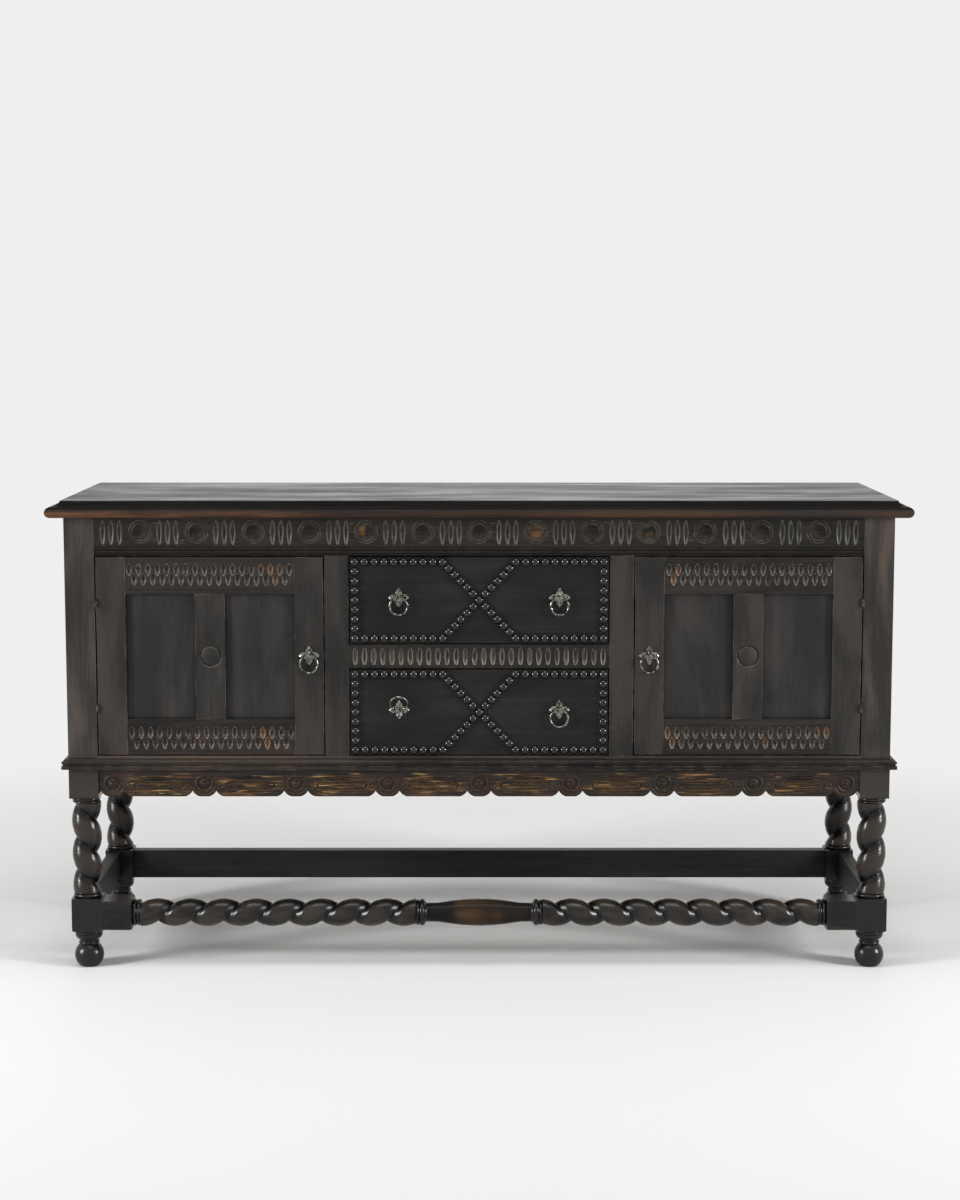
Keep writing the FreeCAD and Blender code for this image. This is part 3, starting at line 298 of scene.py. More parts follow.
    @staticmethod
    def soften(piece: Piece, width: float, angle: float = 35.0) -> None:
        """Ease the sharp arrises of a piece and shade it smooth between them.

        Args:
            piece: The piece to finish.
            width: How far the easing reaches from an arris.
            angle: The angle in degrees above which an edge counts as an arris.
        """
        sharp = math.radians(angle)
        Bench.work(
            piece,
            "BEVEL",
            width=width,
            segments=1,
            limit_method="ANGLE",
            angle_limit=sharp,
            use_clamp_overlap=True,
        )
        bpy.ops.object.shade_smooth_by_angle(angle=sharp)

    @staticmethod
    def spindle(
        name: str, half_length: float, radius: float, sides: int, lying: bool = False
    ) -> Piece:
        """Turn a spindle that is pointed at both ends.

        Args:
            name: The name for the spindle.
            half_length: The length from its middle to a point.
            radius: The radius at its middle.
            sides: The number of sides round it.
            lying: Whether it lies along X instead of standing along Z.

        Returns:
            The spindle, in the middle of the frame.
        """
        steps = 12
        near = 0.1 * MM
        bow = (half_length**2 + radius**2) / (2 * radius)
        sweep = 2 * math.asin(min(half_length / bow, 1.0))
        points = int(math.ceil(steps * FULL / sweep / 4)) * 4
        bpy.ops.mesh.primitive_circle_add(vertices=points, radius=bow, rotation=(QUARTER, 0, 0))
        piece = Bench.started(name)
        Bench.open_up(piece)
        chord = bow - radius
        bpy.ops.mesh.bisect(
            plane_co=(chord, 0, 0), plane_no=(1, 0, 0), clear_inner=True, threshold=near
        )
        bpy.ops.mesh.select_all(action="SELECT")
        bpy.ops.transform.translate(value=(-chord, 0, 0))
        Bench.pick(piece, Element.CORNER, lambda corner: corner.x <= near)
        bpy.ops.transform.resize(value=(0, 1, 1), center_override=(0, 0, 0))
        bpy.ops.mesh.select_all(action="SELECT")
        bpy.ops.mesh.spin(steps=sides, angle=FULL, center=(0, 0, 0), axis=(0, 0, 1))
        Bench.close_up()
        if lying:
            piece.data.transform(Matrix.Rotation(QUARTER, 4, "Y"))
        return piece

    @staticmethod
    def ball(name: str, size: Triple, sides: int = 12) -> Piece:
        """Shape a ball with three half sizes.

        Args:
            name: The name for the ball.
            size: The half sizes along X, Y and Z.
            sides: The number of sides round it.

        Returns:
            The ball, in the middle of the frame.
        """
        rings = max(sides // 2, 6)
        bpy.ops.mesh.primitive_uv_sphere_add(segments=sides, ring_count=rings, radius=1.0)
        piece = Bench.started(name)
        Bench.open_up(piece)
        bpy.ops.transform.resize(value=size)
        Bench.close_up()
        return piece

    @staticmethod
    def hoop(name: str, radius: float, wire: float, sides: int = 48) -> Piece:
        """Make a ring that stands upright and faces the front.

        Args:
            name: The name for the ring.
            radius: The radius to the middle of its wire.
            wire: The radius of its wire.
            sides: The number of steps round it.

        Returns:
            The ring, in the middle of the frame.
        """
        bpy.ops.mesh.primitive_torus_add(
            major_radius=radius,
            minor_radius=wire,
            major_segments=sides,
            minor_segments=8,
            rotation=(QUARTER, 0, 0),
        )
        return Bench.started(name)

    @staticmethod
    def rod(name: str, half_length: float, radius: float) -> Piece:
        """Make a straight rod along X with eased ends.

        Args:
            name: The name for the rod.
            half_length: Half its length.
            radius: Its radius.

        Returns:
            The rod, in the middle of the frame.
        """
        tip = 0.3
        bpy.ops.mesh.primitive_cylinder_add(
            vertices=10, radius=radius, depth=2 * half_length, rotation=(0, QUARTER, 0)
        )
        piece = Bench.started(name)
        Bench.pick(piece, Element.FACE, lambda middle: abs(middle.x) > half_length / 2)
        bpy.ops.mesh.extrude_region_move(TRANSFORM_OT_translate={"value": (0, 0, 0)})
        bpy.ops.transform.resize(value=(1 + 2 * radius / half_length, tip, tip))
        Bench.close_up()
        return piece


class Shade:
    """A node material in the making."""

    def __init__(self, name: str) -> None:
        """Start a material.

        Args:
            name: The material's name.
        """
        self.material = bpy.data.materials.new(name)
        self.material.use_nodes = True
        self.tree = self.material.node_tree
        self.surface = self.tree.nodes["Principled BSDF"]
        self.place = self.tree.nodes.new("ShaderNodeTexCoord").outputs["Object"]

    def feed(self, socket: Socket, value: Value) -> None:
        """Link a socket or set its value.

        Args:
            socket: The socket that takes the value.
            value: Another socket, a number or a colour.
        """
        if isinstance(value, bpy.types.NodeSocket):
            self.tree.links.new(value, socket)
        elif isinstance(value, tuple) and socket.type == "RGBA":
            socket.default_value = (*value, 1.0)
        else:
            socket.default_value = value

    def fill(self, node: bpy.types.Node, **inputs: Value) -> None:
        """Feed a node's inputs, by name with _ for a space."""
        for name, value in inputs.items():
            self.feed(node.inputs[name.replace("_", " ")], value)

    def node(self, kind: str, **inputs: Value) -> bpy.types.Node:
        """Add a node.

        Args:
            kind: The node's type.
            inputs: Values for its inputs, by name with _ for a space.

        Returns:
            The node.
        """
        made = self.tree.nodes.new(kind)
        self.fill(made, **inputs)
        return made

    def sum(self, operation: str, first: Value, second: Value = 0.0) -> Socket:
        """Work out a number from two.

        Args:
            operation: The kind of sum.
            first: The first number.
            second: The second number.

        Returns:
            The result.
        """
        made = self.tree.nodes.new("ShaderNodeMath")
        made.operation = operation
        self.feed(made.inputs[0], first)
        self.feed(made.inputs[1], second)
        return made.outputs[0]

    def gather(self, operation: str, numbers: Iterable[Value]) -> Socket:
        """Work out one number from several, one after another."""
        return reduce(lambda first, second: self.sum(operation, first, second), numbers)

    def times(self, *numbers: Value) -> Socket:
        """Multiply numbers."""
        return self.gather("MULTIPLY", numbers)

    def weighed(self, *shares: tuple[Socket, float]) -> Socket:
        """Add numbers by their weights."""
        return self.gather("ADD", [self.times(number, weight) for number, weight in shares])

    def stretched(self, grain: Grain, shift: float = 0.0, share: float = 0.035) -> Socket:
        """Give the place on the piece, drawn out along the grain.

        Args:
            grain: The direction of the grain.
            shift: A shift that makes another figure.
            share: The scale along the grain.

        Returns:
            The drawn-out place.
        """
        made = self.node("ShaderNodeMapping", Vector=self.place, Scale=grain.stretch(share))
        made.inputs["Location"].default_value = (shift, shift, shift)
        return made.outputs["Vector"]

    def noise(self, place: Socket, scale: float, detail: float = 4.0, twist: float = 0.0) -> Socket:
        """Give an uneven pattern from 0 to 1, with about this many patches in a metre."""
        settings = {"Vector": place, "Scale": scale, "Detail": detail, "Distortion": twist}
        return self.node("ShaderNodeTexNoise", **settings).outputs["Fac"]

    def band(
        self, value: Socket, low: float, high: float, start: Value = 0.0, end: Value = 1.0
    ) -> Socket:
        """Spread part of a number's range over another range.

        Args:
            value: The number.
            low: Where its range starts.
            high: Where its range ends.
            start: The result at its start.
            end: The result at its end.

        Returns:
            The result, which stays within its range.
        """
        made = self.tree.nodes.new("ShaderNodeMapRange")
        made.interpolation_type = "SMOOTHSTEP"
        for socket, number in zip(made.inputs[:5], (value, low, high, start, end)):
            self.feed(socket, number)
        return made.outputs[0]

    def blend(self, share: Value, first: Value, second: Value) -> Socket:
        """Mix two colours.

        Args:
            share: The share of the second colour.
            first: The first colour.
            second: The second colour.

        Returns:
            The mixed colour.
        """
        made = self.tree.nodes.new("ShaderNodeMix")
        made.data_type = "RGBA"
        self.feed(made.inputs["Factor"], share)
        self.feed(made.inputs[6], first)
        self.feed(made.inputs[7], second)
        return made.outputs[2]

    def part(self, line: int) -> Socket:
        """Give the place along one axis, 0 for X, 1 for Y and 2 for Z."""
        return self.node("ShaderNodeSeparateXYZ", Vector=self.place).outputs[line]

    def vector(
        self, operation: str, first: Socket, second: Value = (0, 0, 0), output: str = "Vector"
    ) -> Socket:
        """Work out a vector or a number from vectors.

        Args:
            operation: The kind of sum.
            first: The first vector.
            second: The second vector.
            output: Vector or Value.

        Returns:
            The result.
        """
        made = self.tree.nodes.new("ShaderNodeVectorMath")
        made.operation = operation
        self.feed(made.inputs[0], first)
        self.feed(made.inputs[1], second)
        return made.outputs[output]

    def corners(self, reach: float) -> Socket:
        """Find the inner corners of a piece by ambient occlusion, where shade falls, for painted shade and
        grime there.

        Args:
            reach: How far a corner reaches.

        Returns:
            A number that is 1 deep in a corner and 0 in the open.
        """
        made = self.node("ShaderNodeAmbientOcclusion", Distance=reach)
        made.samples = 6
        return self.band(made.outputs["AO"], 0.85, 0.35)

    def arrises(self, reach: float, slack: float = 0.14) -> Socket:
        """Find the edges of a piece.

        Args:
            reach: How far an edge reaches.
            slack: How far the surface leans at a full edge.

        Returns:
            A number that is 1 at an edge and 0 away from it.
        """
        bevel = self.node("ShaderNodeBevel", Radius=reach)
        bevel.samples = 4
        flat = self.node("ShaderNodeNewGeometry").outputs["Normal"]
        likeness = self.vector("DOT_PRODUCT", bevel.outputs["Normal"], flat, "Value")
        return self.band(likeness, 1.0, 1.0 - slack)

    def upward(self) -> Socket:
        """Tell how far the surface looks upwards, from -1 to 1, for light painted from above."""
        flat = self.node("ShaderNodeNewGeometry").outputs["Normal"]
        return self.node("ShaderNodeSeparateXYZ", Vector=flat).outputs[2]

    def relief(self, height: Socket, depth: float, strength: float) -> None:
        """Give the surface a fine relief from a height of 0 to 1."""
        bump = self.node("ShaderNodeBump", Height=height, Distance=depth, Strength=strength)
        self.fill(self.surface, Normal=bump.outputs["Normal"])


@dataclass(frozen=True)
class Turning:
    """The axes of turned pieces, their ridge and valley radii and the lengths that are turned."""

    axes: tuple[Triple, ...]
    line: int
    ridge: float
    valley: float
    spans: tuple[Span, ...]

    def height(self, shade: Shade) -> Socket:
        """Give the height between valley and ridge.

        Args:
            shade: The material in the making.

        Returns:
            A number that is 0 in a valley and 1 on a ridge.
        """
        flat = tuple(0.0 if index == self.line else 1.0 for index in range(3))
        found = []
        for axis in self.axes:
            across = shade.vector("MULTIPLY", shade.vector("SUBTRACT", shade.place, axis), flat)
            found.append(shade.vector("LENGTH", across, output="Value"))
        return shade.band(shade.gather("MINIMUM", found), self.valley, self.ridge)

    def turned(self, shade: Shade) -> Socket:
        """Tell which lengths are turned.

        Args:
            shade: The material in the making.

        Returns:
            A number that is 1 on a turned length and 0 elsewhere.
        """
        along = shade.part(self.line)
        lengths = []
        for start, stop in self.spans:
            begun = shade.band(along, start - MM, start + MM)
            lengths.append(shade.times(begun, shade.band(along, stop + MM, stop - MM)))
        return shade.gather("MAXIMUM", lengths)


@dataclass(frozen=True)
class Zone:
    """A part of a piece, from one place along an axis to another, that has its own colour; on the top some
    zones paint shade and sheen.
    """

    line: int
    start: float
    stop: float
    colour: Colour
    share: float = 0.8
    patchy: bool = True
    both_ways: bool = False
    polish: float | None = None
    patch: float = 16.0
    least: float = 0.3

    def inside(self, shade: Shade, figure: Socket, grain: Grain) -> Socket:
        """Tell which places are inside the zone.

        Args:
            shade: The material in the making.
            figure: The wood's figure from 0 to 1.
            grain: The direction of the grain.

        Returns:
            The share of the zone's colour.
        """
        along = shade.part(self.line)
        if self.both_ways:
            along = shade.sum("ABSOLUTE", along)
        inside = shade.band(along, self.start, self.stop)
        if self.patchy:
            patch = shade.noise(shade.stretched(grain, shift=0.9, share=0.2), self.patch, detail=3.0)
            for pattern in (figure, patch):
                inside = shade.times(inside, shade.band(pattern, *PATCH_SPAN, start=self.least))
        return shade.times(inside, self.share)


@dataclass(frozen=True)
class OakFinish:
    """Stained oak with lengthwise grain, patchy stain, painted shade and grime in inner corners and turned
    valleys, and rubbed edges.
    """

    name: str
    grain: Grain
    deep: Colour
    body: Colour
    brown: Colour
    rubbed: Colour
    brown_share: float = 0.4
    rub: float = 0.5
    edge: float = 1.6 * MM
    matt: float = 0.44
    shine: float = 0.2
    fine: float = 420.0
    broad: float = 75.0
    patch: float = 9.0
    pores: float = 1400.0
    fine_share: float = 0.65
    pore_share: float = 0.5
    pore_span: Span = (0.58, 0.7)
    streak_span: Span = (0.51, 0.64)
    worn_span: Span = (0.42, 0.62)
    spots: float = 38.0
    # Strength and reach of painted shade, with grime, in inner corners.
    shade_and_grime: float = 0.8
    shade_and_grime_reach: float = 12 * MM
    turning: Turning | None = None
    zones: tuple[Zone, ...] = ()
    swing: float = 0.08
    streaks: float = 0.6
    pore_depth: float = 0.5 * MM

    def make(self) -> bpy.types.Material:
        """Make the material.

        Returns:
            The material.
        """
        shade = Shade(self.name)
        along = shade.stretched(self.grain)
        fine = shade.noise(along, self.fine, twist=0.4)
        broad = shade.noise(shade.stretched(self.grain, shift=2.3), self.broad, detail=5.0, twist=0.8)
        stain = shade.noise(shade.stretched(self.grain, share=0.3), self.patch, twist=0.4)
        open_pores = shade.band(shade.noise(along, self.pores, detail=2.0), *self.pore_span)
        pores = shade.times(open_pores, self.pore_share)
        lines, rest = self.streaks, 1 - self.streaks
        figure = shade.weighed(
            (fine, self.fine_share * lines), (broad, (1 - self.fine_share) * lines), (stain, rest)
        )
        streak = shade.band(shade.weighed((broad, lines), (stain, rest)), *self.streak_span)
        colour = shade.blend(shade.band(figure, *FIGURE_SPAN), self.deep, self.body)
        colour = shade.blend(shade.times(streak, self.brown_share), colour, self.brown)
        colour = shade.blend(pores, colour, self.deep)
        shine: Value = self.shine
        for zone in self.zones:
            inside = zone.inside(shade, figure, self.grain)
            colour = shade.blend(inside, colour, zone.colour)
            if zone.polish is not None:
                shine = shade.band(inside, 0.0, 1.0, shine, zone.polish)
        spots = shade.noise(shade.place, self.spots, detail=5.0, twist=0.5)
        worn = shade.times(shade.arrises(self.edge), shade.band(spots, *self.worn_span))
        if self.turning is not None:
            height, turned = self.turning.height(shade), self.turning.turned(shade)
            uneven = shade.band(stain, 0.36, 0.6, start=0.2)
            ridge = shade.times(shade.band(height, 0.5, 1.0), uneven, turned)
            worn = shade.sum("MAXIMUM", worn, ridge)
            # Painted shade, with dirt, darkens the valleys of the turning.
            valley_shade_and_dirt = shade.times(shade.band(height, 0.7, 0.12, start=0.12, end=0.96), turned)
            colour = shade.blend(valley_shade_and_dirt, colour, VALLEY_SHADE_AND_DIRT)
        colour = shade.blend(shade.times(worn, self.rub), colour, self.rubbed)
        # Painted shade, with grime, in inner corners found by ambient occlusion.
        shade_and_grime = shade.times(shade.corners(self.shade_and_grime_reach), self.shade_and_grime)
        colour = shade.blend(shade_and_grime, colour, CORNER_SHADE_AND_GRIME)
        rough = shade.band(figure, 0.38, 0.62, self.matt + self.swing, self.matt - self.swing)
        shade.fill(shade.surface, Base_Color=colour, Roughness=rough)
        shade.fill(shade.surface, Specular_IOR_Level=shine)
        shade.relief(shade.sum("SUBTRACT", fine, pores), self.pore_depth, strength=0.45)
        return shade.material


@dataclass(frozen=True)
class CarvedFinish:
    """The inside of carved cuts: dark hollows, edges lightened by rubbing and painted highlight, upward
    faces lightened by painted light, warm wood in places.
    """

    name: str
    grain: Grain
    deep: Colour
    body: Colour
    bright: Colour
    warm: Colour
    upward_light_share: float = 0.5
    warm_share: float = 0.5
    edge_share: float = 0.7
    matt: float = 0.42
    shine: float = 0.25
    edge: float = 1.7 * MM
    swing: float = 0.1
    patch: float = 14.0
    spots: float = 130.0
    streaks: float = 330.0

    def make(self) -> bpy.types.Material:
        """Make the material.

        Returns:
            The material.
        """
        shade = Shade(self.name)
        stain = shade.noise(shade.place, self.patch, detail=3.0, twist=0.5)
        spots = shade.noise(shade.place, self.spots)
        streaks = shade.noise(shade.stretched(self.grain), self.streaks)
        spotty = shade.band(spots, *SPOT_SPAN, start=0.3)
        colour = shade.blend(shade.band(streaks, *STREAK_SPAN), self.deep, self.body)
        # Painted light from above: faces that look upwards, such as the gouges' lower tips, are lightened.
        bright = shade.times(shade.band(shade.upward(), 0.02, 0.34), spotty, self.upward_light_share)
        colour = shade.blend(bright, colour, self.bright)
        streaky = shade.band(streaks, *STREAK_SPAN, start=0.4)
        warm = shade.times(shade.band(stain, 0.54, 0.64), streaky, self.warm_share)
        colour = shade.blend(warm, colour, self.warm)
        # Edges lightened in spots: partly rubbed wear, partly a painted highlight along the carving's
        # rims.
        lit = shade.times(spotty, shade.band(stain, 0.34, 0.52, start=0.45))
        edges = shade.times(shade.arrises(self.edge, slack=0.06), lit, self.edge_share)
        colour = shade.blend(edges, colour, self.bright)
        rough = shade.band(spots, *WIDE_SPAN, self.matt + self.swing, self.matt - self.swing)
        shade.fill(shade.surface, Base_Color=colour, Roughness=rough, Specular_IOR_Level=self.shine)
        shade.relief(shade.sum("ADD", streaks, spots), depth=0.6 * MM, strength=0.5)
        return shade.material


@dataclass(frozen=True)
class StreakedFinish:
    """Carved oak with its stain rubbed off in long streaks of gold and orange."""

    name: str
    deep: Colour
    body: Colour
    orange: Colour
    gold: Colour
    red: Colour
    share: float = 0.85
    fine: float = 380.0
    broad: float = 300.0
    patch: float = 58.0
    plain_above: float = 387 * MM
    shine: float = 0.25
    red_share: float = 0.6
    edge: float = 1.5 * MM
    # Strength and reach of painted shade, with grime, in inner corners.
    shade_and_grime: float = 0.85
    shade_and_grime_reach: float = 6 * MM
    rosette_pitch: float = APRON_PITCH
    rosette_reach: float = 22 * MM
    rosette_fade: float = 14 * MM
    rosette_share: float = 0.12

    def make(self) -> bpy.types.Material:
        """Make the material.

        Returns:
            The material.
        """
        shade = Shade(self.name)
        grain = Grain.ALONG_X
        fine = shade.noise(shade.stretched(grain), self.fine, twist=0.6)
        broad = shade.noise(shade.stretched(grain, shift=4.1), self.broad, detail=3.0, twist=0.8)
        other = shade.noise(shade.stretched(grain, shift=7.7), self.fine, detail=3.0, twist=0.8)
        patch = shade.noise(shade.stretched(grain, shift=1.7, share=0.2), self.patch, detail=2.0)
        colour = shade.blend(shade.band(fine, *FIGURE_SPAN), self.deep, self.body)
        colour = shade.blend(shade.times(shade.band(other, 0.54, 0.64), self.red_share), colour, self.red)
        carved = shade.band(shade.part(2), self.plain_above + 2 * MM, self.plain_above - 2 * MM)
        side = shade.band(shade.part(0), -0.3, 0.6, start=1.0, end=0.5)
        rosette = shade.sum("PINGPONG", shade.part(0), self.rosette_pitch / 2)
        clear = self.rosette_reach + self.rosette_fade
        between = shade.band(rosette, self.rosette_reach, clear, start=self.rosette_share)
        rubbed = shade.times(carved, side, between, self.share)
        orange = shade.times(shade.band(broad, 0.52, 0.59), shade.band(patch, 0.4, 0.56))
        colour = shade.blend(shade.times(orange, rubbed), colour, self.orange)
        gold = shade.times(shade.band(other, 0.42, 0.37), shade.band(patch, 0.47, 0.58))
        edges = shade.times(shade.arrises(self.edge), shade.band(fine, *STREAK_SPAN))
        gold = shade.sum("MAXIMUM", gold, edges)
        colour = shade.blend(shade.times(gold, rubbed), colour, self.gold)
        # Painted shade, with grime, in inner corners found by ambient occlusion.
        colour = shade.blend(shade.times(shade.corners(self.shade_and_grime_reach), self.shade_and_grime), colour, APRON_CORNER_SHADE_AND_GRIME)
        rough = shade.band(fine, *WIDE_SPAN, start=0.52, end=0.34)
        shade.fill(shade.surface, Base_Color=colour, Roughness=rough, Specular_IOR_Level=self.shine)
        shade.relief(shade.sum("ADD", fine, broad), depth=0.8 * MM, strength=0.6)
        return shade.material


@dataclass(frozen=True)
class MetalFinish:
    """Old metal, with painted shade and grime in its hollows and bright on its edges."""

    name: str
    dull: Colour
    body: Colour
    bright: Colour
    matt: float
    patina: float = 190.0
    pits: float = 900.0
    pit_share: float = 0.4
    edge: float = 0.7 * MM
    edge_share: float = 0.85
    # Strength and reach of painted shade, with grime, in hollows.
    shade_and_grime: float = 0.9
    shade_and_grime_reach: float = 4 * MM
    duller: float = 0.16
    brighter: float = 0.08

    def make(self) -> bpy.types.Material:
        """Make the material.

        Returns:
            The material.
        """
        shade = Shade(self.name)
        patina = shade.noise(shade.place, self.patina, detail=5.0, twist=0.8)
        pits = shade.times(shade.noise(shade.place, self.pits, detail=3.0), self.pit_share)
        colour = shade.blend(shade.band(patina, *STREAK_SPAN), self.dull, self.body)
        colour = shade.blend(shade.times(shade.arrises(self.edge), self.edge_share), colour, self.bright)
        # Painted shade, with grime, in hollows found by ambient occlusion.
        colour = shade.blend(shade.times(shade.corners(self.shade_and_grime_reach), self.shade_and_grime), colour, METAL_CORNER_SHADE_AND_GRIME)
        rough = shade.band(patina, *WIDE_SPAN, self.matt + self.duller, self.matt - self.brighter)
        shade.fill(shade.surface, Base_Color=colour, Roughness=rough, Metallic=1.0)
        shade.relief(shade.sum("ADD", patina, pits), depth=0.2 * MM, strength=0.5)
        return shade.material


LEG_TURNING = Turning(
    tuple((x * MM, y * MM, 0.0) for x in (-764, 764) for y in (-193, 224)),
    line=2,
    ridge=28.5 * MM,
    valley=18.5 * MM,
    spans=((147 * MM, 329 * MM),),
)
STRETCHER_TURNING = Turning(
    ((0.0, -193 * MM, 105.4 * MM),),
    line=0,
    ridge=27 * MM,
    valley=16.5 * MM,
    spans=((-661 * MM, -123 * MM), (123 * MM, 661 * MM)),
)
POLISHED_TURNING: dict[str, float] = {
    "matt": 0.24,
    "swing": 0.04,
    "shine": 0.27,
    "streaks": 0.35,
    "pore_depth": 0.12 * MM,
}
PLAIN_OAK = tints((96, 74, 53), (126, 101, 75), (114, 87, 62), (152, 126, 98))


class Finish(Enum):
    """The finishes of the cabinet."""

    FRAME_X = OakFinish(
        "dark_oak_rail",
        Grain.ALONG_X,
        *tints((40, 35, 31), (80, 70, 63), (96, 76, 62), (126, 104, 84)),
        rub=0.6,
        shade_and_grime=0.35,
    )
    CARVED_X = OakFinish(
        "dark_oak_carved_rail",
        Grain.ALONG_X,
        *tints((12, 11, 10), (38, 34, 31), (54, 43, 36), (104, 88, 72)),
        rub=0.25,
    )
    REAR_X = OakFinish(
        "black_oak_rear_rail",
        Grain.ALONG_X,
        *tints((14, 14, 13), (32, 32, 31), (38, 36, 34), (84, 80, 74)),
        matt=0.5,
    )
    FRIEZE = OakFinish(
        "dark_oak_frieze",
        Grain.ALONG_X,
        *tints((11, 10, 9), (36, 32, 29), (52, 41, 33), (112, 92, 72)),
        rub=0.4,
        zones=(Zone(2, 829 * MM, 824 * MM, tint(13, 11, 10), 0.85, False, polish=0.1),),
    )
    FRAME_Y = OakFinish(
        "dark_oak_side_rail",
        Grain.ALONG_Y,
        *tints((12, 11, 10), (36, 32, 30), (54, 42, 34), (104, 84, 66)),
    )
    FRAME_Z = OakFinish(
        "dark_oak_upright",
        Grain.ALONG_Z,
        *tints((27, 26, 25), (50, 46, 43), (62, 51, 44), (130, 118, 106)),
        rub=0.7,
        streaks=0.35,
        patch=13.5,
    )
    # Darker than the side rails: dark oak with the shade it stands in painted on.
    SIDE_STRETCHER = OakFinish(
        "dark_oak_side_stretcher",
        Grain.ALONG_Y,
        *tints((8, 8, 8), (20, 19, 18), (30, 25, 22), (80, 74, 68)),
        matt=0.58,
    )
    PANEL = OakFinish(
        "dark_oak_panel",
        Grain.ALONG_Z,
        *tints((27, 26, 26), (46, 44, 43), (56, 48, 44), (70, 62, 57)),
        # A long reach paints a soft shadow, with grime, along the panel's edges.
        shade_and_grime_reach=26 * MM,
        streaks=0.3,
        patch=13.5,
    )
    DRAWER = OakFinish(
        "black_oak_drawer",
        Grain.ALONG_X,
        *tints((10, 10, 11), (24, 24, 25), (40, 38, 37), (58, 56, 54)),
        rub=0.4,
        shine=0.19,
        streaks=0.4,
        patch=16.5,
    )
    BEAD = OakFinish(
        "black_oak_bead",
        Grain.ALONG_X,
        *tints((14, 14, 14), (28, 28, 28), (34, 33, 32), (64, 62, 60)),
        rub=0.3,
        edge=0.8 * MM,
        matt=0.09,
        swing=0.01,
        shine=0.17,
        pore_depth=0.04 * MM,
        shade_and_grime=0.35,
        zones=(Zone(1, -224.0 * MM, -225.2 * MM, tint(18, 18, 18), 1.0, False, polish=0.42),),
    )
    TOP = OakFinish(
        "dark_oak_top",
        Grain.ALONG_X,
        *tints((12, 10, 9), (28, 23, 20), (64, 44, 31), (80, 60, 46)),
        rub=0.3,
        matt=0.54,
        swing=0.13,
        zones=(
            Zone(2, 900 * MM, 890 * MM, tint(104, 68, 42), 0.85),
            Zone(0, 200 * MM, 600 * MM, tint(28, 26, 24), 0.65, False),
            # Painted shade: the upper nosing below the top's edge is darkened, its reflection damped.
            Zone(2, 896 * MM, 902 * MM, tint(15, 14, 13), 0.95, False, polish=0.03),
            # Painted sheen: the top's surface is grey, streaked along the grain, with more shine.
            Zone(2, 913.5 * MM, 914.8 * MM, tint(48, 47, 46), 0.95, False, polish=0.08),
            Zone(2, 913.5 * MM, 914.8 * MM, tint(62, 61, 60), 1.0, polish=0.34),
        ),
    )
    MOULDING = OakFinish(
        "dark_oak_moulding",
        Grain.ALONG_X,
        *tints((15, 13, 12), (42, 38, 34), (60, 49, 40), (140, 122, 102)),
        # The light rubbed arrises are partly wear and partly painted highlight lines.
        rub=0.75,
        shine=0.13,
    )
    APRON = StreakedFinish(
        "worn_oak_apron",
        *tints((10, 8, 7), (36, 29, 24), (92, 62, 38), (196, 152, 92), (56, 38, 30)),
    )
    APRON_CUT = StreakedFinish(
        "worn_oak_apron_cut",
        *tints((8, 6, 6), (28, 22, 18), (80, 54, 34), (180, 140, 84), (46, 31, 25)),
    )
    APRON_LINE = CarvedFinish(
        "dark_oak_apron_line",
        Grain.ALONG_X,
        *tints((3, 3, 3), (9, 7, 6), (146, 116, 76), (96, 62, 34)),
        upward_light_share=0.15,
        warm_share=0.2,
        edge_share=0.35,
    )
    GOUGE_CUT = CarvedFinish(
        "dark_oak_gouge_cut",
        Grain.ALONG_Z,
        *tints((20, 18, 16), (56, 50, 44), (198, 188, 174), (150, 100, 56)),
        upward_light_share=0.12,
        edge_share=1.0,
    )
    FRIEZE_CUT = CarvedFinish(
        "dark_oak_frieze_cut",
        Grain.ALONG_Z,
        *tints((30, 29, 28), (68, 65, 61), (186, 180, 172), (110, 80, 52)),
        upward_light_share=0.14,
        warm_share=0.08,
        edge_share=1.0,
    )
    ROUNDEL_CUT = CarvedFinish(
        "dark_oak_roundel_cut",
        Grain.ALONG_X,
        *tints((10, 9, 8), (28, 24, 21), (78, 68, 56), (150, 106, 60)),
        upward_light_share=0.3,
        warm_share=0.4,
        edge_share=0.5,
        matt=0.6,
        shine=0.15,
    )
    # Near-black grooves partly paint the shade inside them; their light edges are partly painted
    # highlights.
    LINE_CUT = CarvedFinish(
        "dark_oak_line_cut",
        Grain.ALONG_X,
        *tints((6, 6, 6), (18, 16, 15), (150, 141, 128), (84, 62, 44)),
        upward_light_share=0.2,
        warm_share=0.15,
        edge_share=1.0,
        edge=0.7 * MM,
    )
    SHADOW_CUT = CarvedFinish(
        "dark_oak_shadow_cut",
        Grain.ALONG_X,
        *tints((5, 5, 5), (14, 12, 11), (72, 62, 52), (58, 44, 34)),
        upward_light_share=0.15,
        warm_share=0.15,
        edge_share=0.45,
    )
    FLUTE_CUT = CarvedFinish(
        "dark_oak_flute_cut",
        Grain.ALONG_Z,
        *tints((38, 35, 32), (102, 96, 87), (206, 198, 184), (112, 96, 70)),
        upward_light_share=0.2,
        warm_share=0.2,
        edge_share=1.0,
    )
    LEG = OakFinish(
        "turned_oak_leg",
        Grain.ALONG_Z,
        *tints((33, 30, 27), (67, 60, 55), (86, 69, 56), (64, 53, 43)),
        rub=0.45,
        patch=15.0,
        turning=LEG_TURNING,
        zones=(
            Zone(2, 402 * MM, 397 * MM, tint(38, 35, 33), 0.75, False),
            Zone(2, 345 * MM, 330 * MM, tint(19, 17, 16), 0.9, False),
            Zone(2, 148 * MM, 138 * MM, tint(21, 20, 19), 0.85, False),
        ),
        **POLISHED_TURNING,
    )
